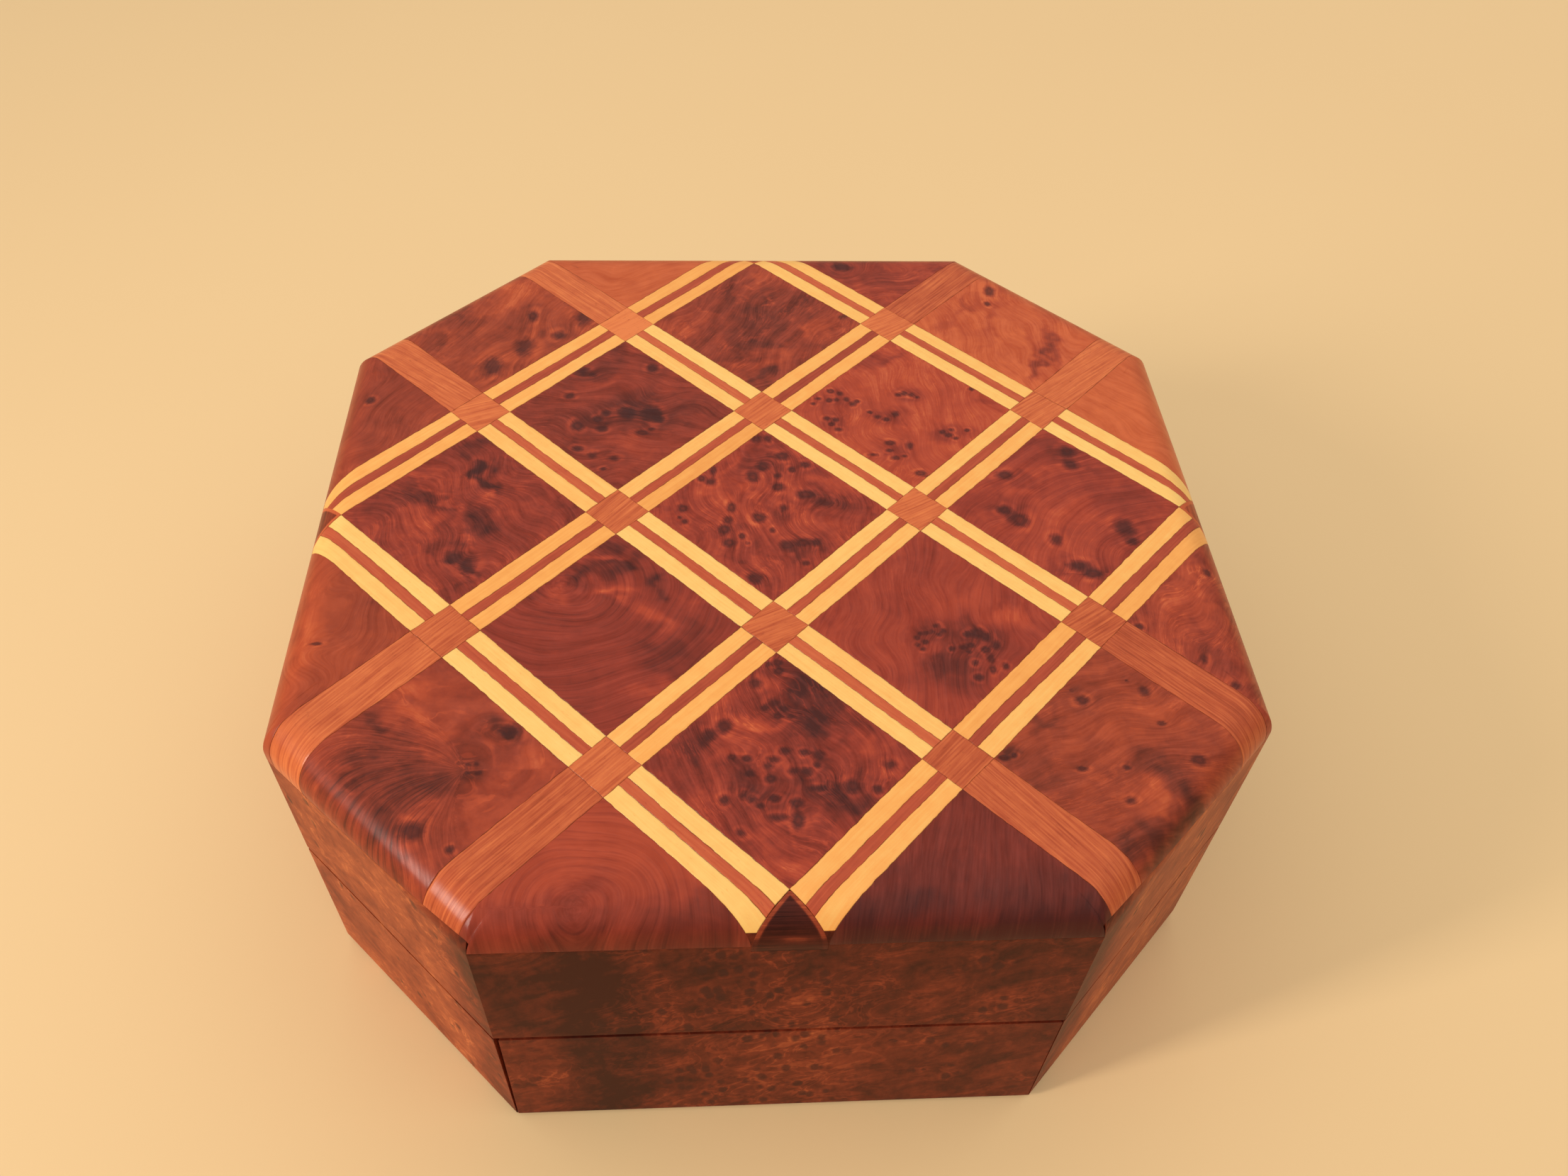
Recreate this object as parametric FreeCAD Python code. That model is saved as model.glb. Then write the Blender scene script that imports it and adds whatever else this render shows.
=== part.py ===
"""Octagonal puzzle box with a marquetry lid, a hidden lock and a hidden key.

Lengths are in millimetres. The origin is the middle of the underside, +Z is up and -Y is the front.
Each of the eight sides has its own frame: x runs along the side, to the right as seen from outside,
y is the depth in from the outer face, and z is up.
"""
import FreeCAD
import Part
import math
import os

Vector = FreeCAD.Vector

# Outer form
WIDTH = 140.0              # across two opposite long sides
CORNER_CUT = 30.5          # leg of each corner that is cut off
HEIGHT = 60.6              # underside to the top of the lid
BASE_HEIGHT = 29.5         # underside to the seam below the lid
TOP_ROUND = 6.0            # round-over along the lid's upper edge
FOOT_ROUND = 1.6           # eased edge along the underside
SEAM_LINE = 0.6            # height of the shadow line along the seam
SEAM_RELIEF = 1.6          # depth of the shadow line

# Walls, floor and lining
WALL = 11.0                # full thickness of a side
FLOOR = 5.0
LIP = 2.2                  # thickness of the lining boards
LIP_RISE = 4.5             # how far the lining rises into the lid
LIP_GAP = 0.4              # between the risen lining and the lid's walls

# Sliding panels
PANEL = 4.4                # thickness of a panel
PANEL_GAP = 0.3            # between a panel and the wall behind it
PANEL_TOP_GAP = 0.5        # between a panel and the seam
PANEL_FOOT_GAP = 0.4       # between a panel and the table
MITRE_GAP_TOP = 0.6        # the two panels part at their shared corner, at the top
MITRE_GAP_FOOT = 0.15      # and nearly meet at the foot
MITRE_FIT = 0.15           # between the front panel and the fixed wall at its other end
RUNNER_NECK = 4.2          # width of a dovetail runner where it leaves its panel
RUNNER_WIDE = 6.4          # width of a runner at its far face
RUNNER_RISE = 2.8          # how far a runner stands off its panel
RUNNER_FIT = 0.2           # between a runner and its groove
RUNNER_END_GAP = 0.3       # between a runner and the end of its groove
FRONT_RUNNER = 11.0        # length of each front runner
FRONT_GROOVE_WALL = 4.0    # wood between a front groove and the corner joint
FRONT_RUNNER_INSET = 0.5   # from the panel's top edge to its runners
FRONT_GROOVE_FOOT = 2.5    # height at which the front grooves end
KEY_RUNNER = 11.5          # length of the key panel's runner
KEY_RUNNER_HEIGHT = 8.0    # height of its middle

# Marquetry
LATTICE_LINES = 4          # bands each way
LIGHT_STRIP = 2.6          # width of a pale strip
RED_STRIP = 1.6            # width of a red strip
TILE_DEPTH = 6.5           # thickness of the burl tiles over the board
STRIP_DEPTH = 3.2          # thickness of the strips and crossing squares
END_DEPTH = 6.8            # thickness of the half squares at the edge
BOARD = 4.0                # thickness of the board under the tiles
JOINT_DEPTH = 6.4          # depth of the joint between the tiles and a lid wall
FRONT_JOINT_LEFT = 5.4     # the same at the two ends of the front wall
FRONT_JOINT_RIGHT = 5.6
FRONT_LEFT_JOINT_LEFT = 8.0
FRONT_LEFT_JOINT_RIGHT = 3.2
FRONT_RIGHT_JOINT_LEFT = 3.2
FRONT_RIGHT_JOINT_RIGHT = 6.4

# Hinges
HINGE_INSET = 2.2          # depth of the hinge axis behind the back face
HINGE_LENGTH = 16.0
HINGE_END = 9.5            # from a hinge to the back's corner
HINGE_GROOVE_PLAY = 0.15   # from the hinge axis to the bottom of the back groove
LID_STOP = 96.0            # angle at which the groove's two edges meet and stop the lid
LEAF = 0.9                 # thickness of a leaf
LEAF_REACH = 7.5           # from the axis to the leaf's inner edge
LEAF_SCREW_SPACING = 10.0
LEAF_SCREW_REACH = 5.2     # from the axis to the screws
KNUCKLE = 1.7              # radius of the barrel
KNUCKLE_GAP = 0.3          # round the barrel
KNUCKLE_SIDE_GAP = 0.15    # between neighbouring knuckles
PIN = 0.8                  # radius of the hinge pin
PIN_FIT = 0.05             # between the pin and the lid's knuckle
PIN_SEAT = 0.02            # between the pin and the base's knuckles
PIN_HEAD = 0.3             # how far the pin stands out of the barrel

# Lock
LOCK_WIDTH = 30.0
LOCK_HEIGHT = 18.0
LOCK_SKIN = 0.8            # sheet of the case
LOCK_SETBACK = 1.6         # wood left between the keyhole plate's face and the case
LOCK_FIT = 0.1             # round the case, the cover and the plates that are let in
LOCK_TOP_GAP = 0.2         # between the lock and the seam
COVER = 1.0                # thickness of the cover
COVER_MARGIN = 4.0         # cover beyond the case, at both sides
COVER_FOOT = 2.5           # cover below the case
COVER_SCREW_INSET = 2.0    # from the cover's side edge to its screws
COVER_SCREW_EDGE = 3.0     # from the cover's top and foot to its screws
BOLT_THICK = 1.6
BOLT_HEIGHT = 3.6
BOLT_DROP = 2.0            # seam to the bolt's upper edge
BOLT_TRAVEL = 4.2
BOLT_TAIL_GAP = 0.4        # between the bolt's tail and the case
BOLT_NOSE_GAP = 0.8        # between the drawn bolt and the hook
GUIDE_PIN = 0.65           # radius of the pin in the bolt's slot
GUIDE_FIT = 0.1
GUIDE_WEB = 1.6            # bolt left beyond its slot
TALON_WIDTH = 4.4          # notch that the key turns in
TALON_DEPTH = 1.0
HOOK_START = 6.0           # x of the hook's open edge
HOOK_NOTCH = 4.2           # depth of its notch
HOOK_WEB = 2.2             # metal behind the notch
HOOK_TOE = 1.8             # metal below the notch
HOOK_FIT = 0.4             # above and below the bolt in the notch
HOOK_SLOT_GAP = 0.6        # round the hook in the case's top
STRIKE = 1.0               # thickness of the strike plate
STRIKE_WIDTH = 24.0
STRIKE_SCREW_SPACING = 18.4
SPRING = 0.3               # thickness of the leaf spring
SPRING_LENGTH = 10.0
SPRING_GAP = 0.1           # between the spring and the bolt
SPRING_SIDE_GAP = 1.0      # between the spring and the case's side

# Keyhole and key
KEYHOLE_DROP = 9.0         # seam to the key's axis
KEYHOLE = 1.85             # radius of the round part
KEYHOLE_SLOT = 1.8         # width of the slot
KEYHOLE_SLOT_DROP = 4.5    # key's axis to the foot of the slot
PLATE = 0.8                # thickness of the keyhole plate
PLATE_WIDTH = 6.8
PLATE_ABOVE = 3.4          # plate above the key's axis
PLATE_BELOW = 5.6          # plate below it
PLATE_PIN = 0.4            # radius of the plate's pins
PLATE_PIN_LENGTH = 1.4
PLATE_PIN_SPACING = 5.0
PLATE_PIN_DROP = 2.4       # key's axis to the pins
KEY_POST = 0.9             # radius of the post that the key fits over
KEY_POST_GAP = 0.6         # between the post and the case
KEY_SHANK = 1.5            # radius
KEY_BORE = 1.0             # radius of the hole in the key's end
KEY_BORE_DEPTH = 7.0
KEY_LENGTH = 25.5
KEY_BOW = 4.6              # radius of the ring
KEY_BOW_HOLE = 2.9
KEY_BOW_THICK = 2.2
KEY_COLLAR = 1.75          # radius
KEY_COLLAR_WIDTH = 1.2
KEY_BIT_REACH = 4.2        # from the key's axis
KEY_BIT_WIDTH = 3.0
KEY_BIT_THICK = 1.4
KEY_BIT_INSET = 0.8        # from the key's end
KEY_WARD = 0.8             # notch in the bit
POCKET_DEPTH = 3.8
POCKET_FOOT = 14.2         # height of the pocket's ledge
POCKET_GAP = 0.4           # round the key
POCKET_REST = 0.1          # under the key
POCKET_WALL = 2.0          # wood between the pocket and the corner joint

# Screws
SCREW_SHANK = 0.8          # radius
SCREW_HEAD = 1.6           # radius
SCREW_HEAD_RISE = 0.8
SCREW_SLOT = 0.4
SCREW_SLOT_DEPTH = 0.4
SCREW_TIP = 1.0
SCREW_FIT = 0.05           # between a screw and its hole
LEAF_SCREW = 6.0           # lengths
COVER_SCREW = 4.5
STRIKE_SCREW = 6.0

# Worked out from the sizes above
SEAM = BASE_HEIGHT
BEYOND = WIDTH             # past every face of the box
HIDDEN_FACE = PANEL + PANEL_GAP
BAND = 2 * LIGHT_STRIP + RED_STRIP
PITCH = WIDTH / ((LATTICE_LINES - 1) * math.sqrt(2))
LINES = [(place - (LATTICE_LINES - 1) / 2) * PITCH for place in range(LATTICE_LINES)]
LATTICE_TURN = -45.0
TOUCH = 1e-6               # points this near a face lie on it
MITRE = math.tan(math.radians(22.5))   # run of a corner joint per unit of depth
UP = Vector(0, 0, 1)
OUTWARD = Vector(0, -1, 0)
ALONG = Vector(1, 0, 0)


def block(x0, x1, y0, y1, z0, z1):
    """A box between two corners."""
    return Part.makeBox(x1 - x0, y1 - y0, z1 - z0, Vector(x0, y0, z0))


def swept(corners, run):
    """A flat outline of corner points, carried along a straight run."""
    return Part.Face(Part.makePolygon(corners + corners[:1])).extrude(run)


def upright(plan, z0, z1):
    """A plan of (x, y) corners, carried up from z0 to z1."""
    return swept([Vector(x, y, z0) for x, y in plan], Vector(0, 0, z1 - z0))


def lengthwise(section, x0, x1):
    """A section of (y, z) corners, carried along from x0 to x1."""
    return swept([Vector(x0, y, z) for y, z in section], Vector(x1 - x0, 0, 0))


def inward(front, y0, y1):
    """A front view of (x, z) corners, carried in from y0 to y1."""
    return swept([Vector(x, y0, z) for x, z in front], Vector(0, y1 - y0, 0))


def rod(radius, start, run):
    """A round rod from a start point along a run."""
    return Part.makeCylinder(radius, run.Length, start, run)


def joined(*solids):
    """Several solids made one."""
    return solids[0].fuse(list(solids[1:])).removeSplitter()


def screw_body(at, direction, length, grow=0.0):
    """Countersunk head, shank and point of a screw whose head lies flush at a point."""
    head = Part.makeCone(SCREW_HEAD + grow, SCREW_SHANK + grow, SCREW_HEAD_RISE, at, direction)
    shank = rod(SCREW_SHANK + grow, at, direction * length)
    point = Part.makeCone(SCREW_SHANK + grow, 0, SCREW_TIP + grow, at + direction * length, direction)
    return joined(head, shank, point)


def screw_hole(at, direction, length):
    """The hole that a screw leaves, with its clearance."""
    return screw_body(at, direction, length, SCREW_FIT)


def screw(at, direction, length):
    """A slotted countersunk screw, with its slot along x."""
    aside = direction.cross(ALONG) * (SCREW_SLOT / 2)
    along = ALONG * (2 * SCREW_HEAD)
    corners = [at - along - aside, at + along - aside, at + along + aside, at - along + aside]
    return screw_body(at, direction, length).cut(swept(corners, direction * SCREW_SLOT_DEPTH))


class Side:
    """One of the eight sides: its frame's turn, its face's distance and half its length."""

    def __init__(self, place, name):
        self.name = name
        self.turn = 45.0 * place
        long_side = place % 2 == 0
        self.distance = WIDTH / 2 if long_side else (WIDTH - CORNER_CUT) / math.sqrt(2)
        self.half = WIDTH / 2 - CORNER_CUT if long_side else CORNER_CUT / math.sqrt(2)

    def reach(self, depth):
        """Half the side's length at a depth in from its outer face."""
        return self.half - depth * MITRE

    def seat(self, shape):
        """A shape drawn in this side's frame, put in its place on the box."""
        placed = shape.copy()
        placed.translate(Vector(0, -self.distance, 0))
        placed.rotate(Vector(), UP, self.turn)
        return placed

    def board(self, depth0, depth1, z0, z1):
        """A board between two depths, mitred at both ends."""
        near = self.reach(depth0)
        far = self.reach(depth1)
        return upright([(-near, depth0), (near, depth0), (far, depth1), (-far, depth1)], z0, z1)


SIDE_NAMES = ("front", "front_right", "right", "back_right", "back", "back_left", "left", "front_left")
SIDES = {name: Side(place, name) for place, name in enumerate(SIDE_NAMES)}
FRONT = SIDES["front"]
KEY_SIDE = SIDES["front_left"]
BACK = SIDES["back"]
BACK_WALLS = ("back_right", "back", "back_left")


def outer_form():
    """The whole outside: four rounded slabs, each across two opposite sides, and what they share."""
    form = None
    for side in list(SIDES.values())[:4]:
        slab = block(-BEYOND, BEYOND, -side.distance, side.distance, 0, HEIGHT)
        long_edges = [edge for edge in slab.Edges if edge.BoundBox.XLength > BEYOND]
        slab = slab.makeFillet(TOP_ROUND, [edge for edge in long_edges if edge.BoundBox.ZMin > SEAM])
        long_edges = [edge for edge in slab.Edges if edge.BoundBox.XLength > BEYOND]
        slab = slab.makeFillet(FOOT_ROUND, [edge for edge in long_edges if edge.BoundBox.ZMax < FOOT_ROUND])
        slab.rotate(Vector(), UP, side.turn)
        form = slab if form is None else form.common(slab)
    return form


def octagon(depth, z0, z1):
    """The eight-sided plan at a depth in from the outer faces, carried up."""
    corners = [side.seat(Part.Vertex(-side.reach(depth), depth, 0)).Point for side in SIDES.values()]
    return upright([(corner.x, corner.y) for corner in corners], z0, z1)


def seam_cut(side):
    """What is cut from a side's walls at the seam: a shadow line, and at the back the hinge groove."""
    line = block(-BEYOND, BEYOND, -BEYOND, SEAM_RELIEF, SEAM - SEAM_LINE / 2, SEAM + SEAM_LINE / 2)
    cuts = [side.seat(line)]
    if side.name in BACK_WALLS:
        mouth = HINGE_INSET * math.tan(math.radians(LID_STOP / 2))
        bottom = HINGE_INSET + HINGE_GROOVE_PLAY
        rise = mouth * (bottom + BEYOND) / bottom
        section = [(bottom, SEAM), (-BEYOND, SEAM + rise), (-BEYOND, SEAM - rise)]
        cuts.append(BACK.seat(lengthwise(section, -BEYOND, BEYOND)))
    return cuts


# Hinges

def hinge_middles():
    """Where the hinges sit along the back."""
    middle = BACK.half - HINGE_END - HINGE_LENGTH / 2
    return {"left": middle, "right": -middle}


def leaf_screw_points(middle):
    """The heads of one leaf's screws."""
    offsets = (-LEAF_SCREW_SPACING / 2, LEAF_SCREW_SPACING / 2)
    return [Vector(middle + offset, HINGE_INSET + LEAF_SCREW_REACH, SEAM) for offset in offsets]


def hinge_mortise(direction):
    """The wood cut out for both hinges on one side of the seam: leaves, barrels and screws."""
    cuts = []
    for middle in hinge_middles().values():
        x0 = middle - HINGE_LENGTH / 2 - PIN_HEAD - KNUCKLE_SIDE_GAP
        x1 = middle + HINGE_LENGTH / 2 + PIN_HEAD + KNUCKLE_SIDE_GAP
        z0, z1 = sorted((SEAM, SEAM + direction.z * LEAF))
        leaf = block(x0, x1, HINGE_INSET, HINGE_INSET + LEAF_REACH + KNUCKLE_SIDE_GAP, z0, z1)
        barrel = rod(KNUCKLE + KNUCKLE_GAP, Vector(x0, HINGE_INSET, SEAM), ALONG * (x1 - x0))
        holes = [screw_hole(point, direction, LEAF_SCREW) for point in leaf_screw_points(middle)]
        cuts += [BACK.seat(cut) for cut in [leaf, barrel] + holes]
    return cuts


def hinge_leaf(middle, direction, knuckles, bore):
    """A leaf with its knuckles, given as stretches along the barrel, and its screw holes."""
    z0, z1 = sorted((SEAM, SEAM + direction.z * LEAF))
    edge = HINGE_INSET + KNUCKLE + KNUCKLE_GAP
    half = HINGE_LENGTH / 2
    leaf = block(middle - half, middle + half, edge, HINGE_INSET + LEAF_REACH, z0, z1)
    for start, end in knuckles:
        tab = block(middle + start, middle + end, HINGE_INSET, edge, z0, z1)
        barrel = rod(KNUCKLE, Vector(middle + start, HINGE_INSET, SEAM), ALONG * (end - start))
        leaf = joined(leaf, tab, barrel)
    pin_hole = rod(bore, Vector(middle - HINGE_LENGTH, HINGE_INSET, SEAM), ALONG * (2 * HINGE_LENGTH))
    holes = [screw_hole(point, direction, LEAF_SCREW) for point in leaf_screw_points(middle)]
    return BACK.seat(leaf.cut([pin_hole] + holes))


def hinges():
    """Both hinges: leaves, pins and screws."""
    half = HINGE_LENGTH / 2
    third = HINGE_LENGTH / 6
    outer = [(-half, -third - KNUCKLE_SIDE_GAP), (third + KNUCKLE_SIDE_GAP, half)]
    inner = [(-third, third)]
    pieces = {}
    screws = {"lid": [], "base": []}
    for name, middle in hinge_middles().items():
        pieces[f"hinge_{name}_lid_leaf"] = [hinge_leaf(middle, UP, inner, PIN + PIN_FIT)]
        pieces[f"hinge_{name}_base_leaf"] = [hinge_leaf(middle, -UP, outer, PIN + PIN_SEAT)]
        start = Vector(middle - half - PIN_HEAD, HINGE_INSET, SEAM)
        pieces[f"hinge_{name}_pin"] = [BACK.seat(rod(PIN, start, ALONG * (HINGE_LENGTH + 2 * PIN_HEAD)))]
        for point in leaf_screw_points(middle):
            screws["lid"].append(BACK.seat(screw(point, UP, LEAF_SCREW)))
            screws["base"].append(BACK.seat(screw(point, -UP, LEAF_SCREW)))
    pieces["lid_hinge_screws"] = screws["lid"]
    pieces["base_hinge_screws"] = screws["base"]
    return pieces


# Lid

def joint_depths(side):
    """Depth of the joint above a lid wall at its left and right ends."""
    uneven = {
        "front": (FRONT_JOINT_LEFT, FRONT_JOINT_RIGHT),
        "front_left": (FRONT_LEFT_JOINT_LEFT, FRONT_LEFT_JOINT_RIGHT),
        "front_right": (FRONT_RIGHT_JOINT_LEFT, FRONT_RIGHT_JOINT_RIGHT),
    }
    return uneven.get(side.name, (JOINT_DEPTH, JOINT_DEPTH))


def deepest_joint():
    """The lowest reach of the marquetry."""
    return max([END_DEPTH, TILE_DEPTH] + [max(joint_depths(side)) for side in SIDES.values()])


def lattice_cell(u0, u1, v0, v1, depth, start=0.0):
    """A block of the lattice, whose u and v run along the two bands, between two depths."""
    cell = block(u0, u1, v0, v1, HEIGHT - depth, HEIGHT - start)
    cell.rotate(Vector(), UP, LATTICE_TURN)
    return cell


def crossing(u_line, v_line, depth):
    """The square where two bands cross."""
    half = BAND / 2
    return lattice_cell(u_line - half, u_line + half, v_line - half, v_line + half, depth)


def end_squares():
    """The crossings in the middle of the four long sides."""
    ends = (LINES[0], LINES[-1])
    return [crossing(u_line, v_line, END_DEPTH) for u_line in ends for v_line in ends]


def lid_walls(form, ends):
    """The lid's eight walls, under the marquetry's uneven joint."""
    walls = {}
    for side in SIDES.values():
        left, right = joint_depths(side)
        above = [(-side.half, HEIGHT - left), (side.half, HEIGHT - right),
                 (side.half, HEIGHT + BEYOND), (-side.half, HEIGHT + BEYOND)]
        cuts = [side.seat(inward(above, -BEYOND, BEYOND))] + seam_cut(side) + ends
        if side is BACK:
            cuts += hinge_mortise(UP)
        if side is FRONT:
            cuts += strike_mortise()
        wall = side.seat(side.board(0, WALL, SEAM, HEIGHT))
        walls[f"lid_wall_{side.name}"] = wall.common(form).cut(cuts)
    return walls


def tile_layer(form, walls):
    """The room above the lid's walls and board, which the ribs and the marquetry fill."""
    layer = form.common(block(-BEYOND, BEYOND, -BEYOND, BEYOND, HEIGHT - deepest_joint(), HEIGHT))
    return layer.cut(walls + [octagon(WALL, 0, HEIGHT - TILE_DEPTH)])


def spans():
    """The clear stretches between neighbouring bands."""
    return [(near + BAND / 2, far - BAND / 2) for near, far in zip(LINES, LINES[1:])]


def rib_blocks():
    """The ribs under the striped bands: whole ones one way, and stretches between them the other way."""
    deep = deepest_joint()
    inner_end = LINES[-1] - BAND / 2
    outer_end = LINES[-1] + BAND / 2
    ribs = []
    for line in LINES:
        band = (line - BAND / 2, line + BAND / 2)
        end = outer_end if line in LINES[1:-1] else inner_end
        ribs.append(lattice_cell(*band, -end, end, deep, STRIP_DEPTH))
        ribs += [lattice_cell(*gap, *band, deep, STRIP_DEPTH) for gap in spans()]
    return ribs


def striped_band(line, start, end, crosswise):
    """The pale, red and pale strips along one stretch of a band."""
    edges = [-BAND / 2, -RED_STRIP / 2, RED_STRIP / 2, BAND / 2]
    strips = []
    for near, far in zip(edges, edges[1:]):
        across = (line + near, line + far)
        along = (start, end)
        u_range, v_range = (along, across) if crosswise else (across, along)
        strips.append(lattice_cell(*u_range, *v_range, STRIP_DEPTH))
    return strips


def marquetry_blocks():
    """Every block of the lid's pattern before it is trimmed, by node."""
    gaps = spans()
    inner = gaps[1:-1]
    deep = deepest_joint()
    last = LINES[-1] + BAND / 2
    borders = [(-BEYOND, -last), (last, BEYOND)]
    blocks = {"burl_squares": [lattice_cell(*u, *v, TILE_DEPTH) for u in gaps for v in gaps]}
    blocks["burl_side_tiles"] = []
    blocks["burl_corner_tiles"] = []
    for border in borders:
        for gap in gaps:
            name = "burl_side_tiles" if gap in inner else "burl_corner_tiles"
            blocks[name] += [lattice_cell(*border, *gap, deep), lattice_cell(*gap, *border, deep)]
    blocks["border_bands"] = []
    for line in LINES[1:-1]:
        band = (line - BAND / 2, line + BAND / 2)
        for border in borders:
            blocks["border_bands"] += [lattice_cell(*border, *band, deep), lattice_cell(*band, *border, deep)]
    blocks["lemonwood_strips"] = []
    blocks["red_strips"] = []
    for line in LINES:
        for start, end in gaps:
            for crosswise in (False, True):
                pale, red, other_pale = striped_band(line, start, end, crosswise)
                blocks["lemonwood_strips"] += [pale, other_pale]
                blocks["red_strips"].append(red)
    outer = (LINES[0], LINES[-1])
    blocks["lattice_squares"] = [crossing(u, v, STRIP_DEPTH) for u in LINES for v in LINES
                                 if not (u in outer and v in outer)]
    blocks["lattice_end_triangles"] = end_squares()
    blocks["lid_ribs"] = rib_blocks()
    return blocks


def lid(form):
    """The lid's wooden pieces."""
    ends = end_squares()
    walls = lid_walls(form, ends)
    layer = tile_layer(form, list(walls.values()))
    clear_of_edge = octagon(WALL, HEIGHT - TILE_DEPTH, HEIGHT)
    pieces = {name: [wall] for name, wall in walls.items()}
    pieces["lid_board"] = [octagon(WALL, HEIGHT - TILE_DEPTH - BOARD, HEIGHT - TILE_DEPTH)]
    for name, blocks in marquetry_blocks().items():
        pieces[name] = []
        for piece in blocks:
            inside = all(clear_of_edge.isInside(corner.Point, TOUCH, True) for corner in piece.Vertexes)
            pieces[name].append(piece if inside else piece.common(layer))
    return pieces


# Base

def dovetail(grow):
    """A runner's (depth, half width) at its neck and at its far face."""
    return (PANEL - grow, RUNNER_NECK / 2 + grow), (PANEL + RUNNER_RISE + grow, RUNNER_WIDE / 2 + grow)


def front_runner(middle, z0, z1, grow=0.0):
    """An upright dovetail bar behind the front panel."""
    (near, neck), (far, wide) = dovetail(grow)
    return upright([(middle - neck, near), (middle + neck, near), (middle + wide, far), (middle - wide, far)],
                   z0, z1)


def key_runner(x0, x1, grow=0.0):
    """A level dovetail bar behind the key panel."""
    (near, neck), (far, wide) = dovetail(grow)
    z = KEY_RUNNER_HEIGHT
    return lengthwise([(near, z - neck), (far, z - wide), (far, z + wide), (near, z + neck)], x0, x1)


def front_runner_middles():
    """Where the front runners sit along the panel."""
    far, wide = dovetail(RUNNER_FIT)[1]
    middle = FRONT.reach(far) - wide - FRONT_GROOVE_WALL
    return -middle, middle


def front_panel(form):
    """The front panel, mitred at both ends, which leans away from the key panel at its left end."""
    right = [(FRONT.reach(PANEL) - MITRE_FIT, PANEL), (FRONT.half - MITRE_FIT, 0)]
    outlines = []
    for height, gap in ((PANEL_FOOT_GAP, MITRE_GAP_FOOT), (SEAM - PANEL_TOP_GAP, MITRE_GAP_TOP)):
        left = [(-FRONT.half + gap, 0), (-FRONT.reach(PANEL) + gap, PANEL)]
        corners = [Vector(x, y, height) for x, y in left + right]
        outlines.append(Part.makePolygon(corners + corners[:1]))
    return FRONT.seat(Part.makeLoft(outlines, True, True)).common(form)


def key_panel(form):
    """The key panel, mitred at the front corner, which runs out to the left face at its other end."""
    plan = [(-KEY_SIDE.half, 0), (KEY_SIDE.half - MITRE_FIT, 0),
            (KEY_SIDE.reach(PANEL) - MITRE_FIT, PANEL), (-KEY_SIDE.half - PANEL, PANEL)]
    return KEY_SIDE.seat(upright(plan, PANEL_FOOT_GAP, SEAM - PANEL_TOP_GAP)).common(form)


def panels(form):
    """The two sliding panels with their runners."""
    top = SEAM - PANEL_TOP_GAP - FRONT_RUNNER_INSET
    runners = [FRONT.seat(front_runner(middle, top - FRONT_RUNNER, top)) for middle in front_runner_middles()]
    end = KEY_SIDE.reach(PANEL + RUNNER_RISE + RUNNER_FIT) - RUNNER_END_GAP
    return {
        "front_panel": [front_panel(form)],
        "front_panel_runners": runners,
        "key_panel": [key_panel(form)],
        "key_panel_runner": [KEY_SIDE.seat(key_runner(end - KEY_RUNNER, end))],
    }


def front_inner_cuts():
    """What is cut into the wall behind the front panel: grooves, lock, keyhole and its plate."""
    cuts = [front_runner(middle, FRONT_GROOVE_FOOT, SEAM, RUNNER_FIT) for middle in front_runner_middles()]
    cuts += [lock_mortise(), keyhole(), keyhole_plate_form(LOCK_FIT)]
    cuts += keyhole_pin_forms(SCREW_FIT)
    cuts += [screw_hole(point, OUTWARD, COVER_SCREW) for point in cover_screw_points()]
    return [FRONT.seat(cut) for cut in cuts]


def key_inner_cuts():
    """What is cut into the wall behind the key panel: the runner's groove and the key's pocket."""
    return [KEY_SIDE.seat(cut) for cut in (key_runner(-BEYOND, BEYOND, RUNNER_FIT), key_pocket())]


def base_walls(form):
    """Six full walls, and the two inner walls behind the sliding panels."""
    pieces = {}
    for side in SIDES.values():
        name = f"base_wall_{side.name}"
        depth = 0
        cuts = seam_cut(side)
        if side is FRONT:
            name = "front_inner_wall"
            depth = HIDDEN_FACE
            cuts = front_inner_cuts()
        if side is KEY_SIDE:
            name = "key_inner_wall"
            depth = HIDDEN_FACE
            cuts = key_inner_cuts()
        if side is BACK:
            cuts += hinge_mortise(-UP)
        if side.name == "left":
            cuts.append(KEY_SIDE.seat(block(-BEYOND, BEYOND, -BEYOND, HIDDEN_FACE, 0, SEAM)))
        wall = side.seat(side.board(depth, WALL, 0, SEAM))
        pieces[name] = [wall.common(form).cut(cuts)]
    return pieces


def lips():
    """The lining boards, set back above the seam so that the lid slips over them."""
    pieces = {}
    for side in SIDES.values():
        lower = side.board(WALL, WALL + LIP, FLOOR, SEAM)
        upper = side.board(WALL + LIP_GAP, WALL + LIP, SEAM, SEAM + LIP_RISE)
        lip = joined(lower, upper)
        if side is FRONT:
            half = cover_half() + LOCK_FIT
            lip = lip.cut(block(-half, half, 0, BEYOND, cover_foot() - LOCK_FIT, HEIGHT))
        pieces[f"lip_{side.name}"] = [side.seat(lip)]
    return pieces


# Lock

def case_front():
    """Depth of the lock case's face."""
    return HIDDEN_FACE + LOCK_SETBACK


def case_top():
    """Height of the lock case's top."""
    return SEAM - LOCK_TOP_GAP


def case_foot():
    """Height of the lock case's foot."""
    return case_top() - LOCK_HEIGHT


def cover_half():
    """Half the width of the lock's cover."""
    return LOCK_WIDTH / 2 + COVER_MARGIN


def cover_foot():
    """Height of the cover's lower edge."""
    return case_foot() - COVER_FOOT


def bolt_depths():
    """Near and far depths of the bolt, the hook and the spring, midway in the case."""
    middle = (case_front() + LOCK_SKIN + WALL) / 2
    return middle - BOLT_THICK / 2, middle + BOLT_THICK / 2


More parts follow.
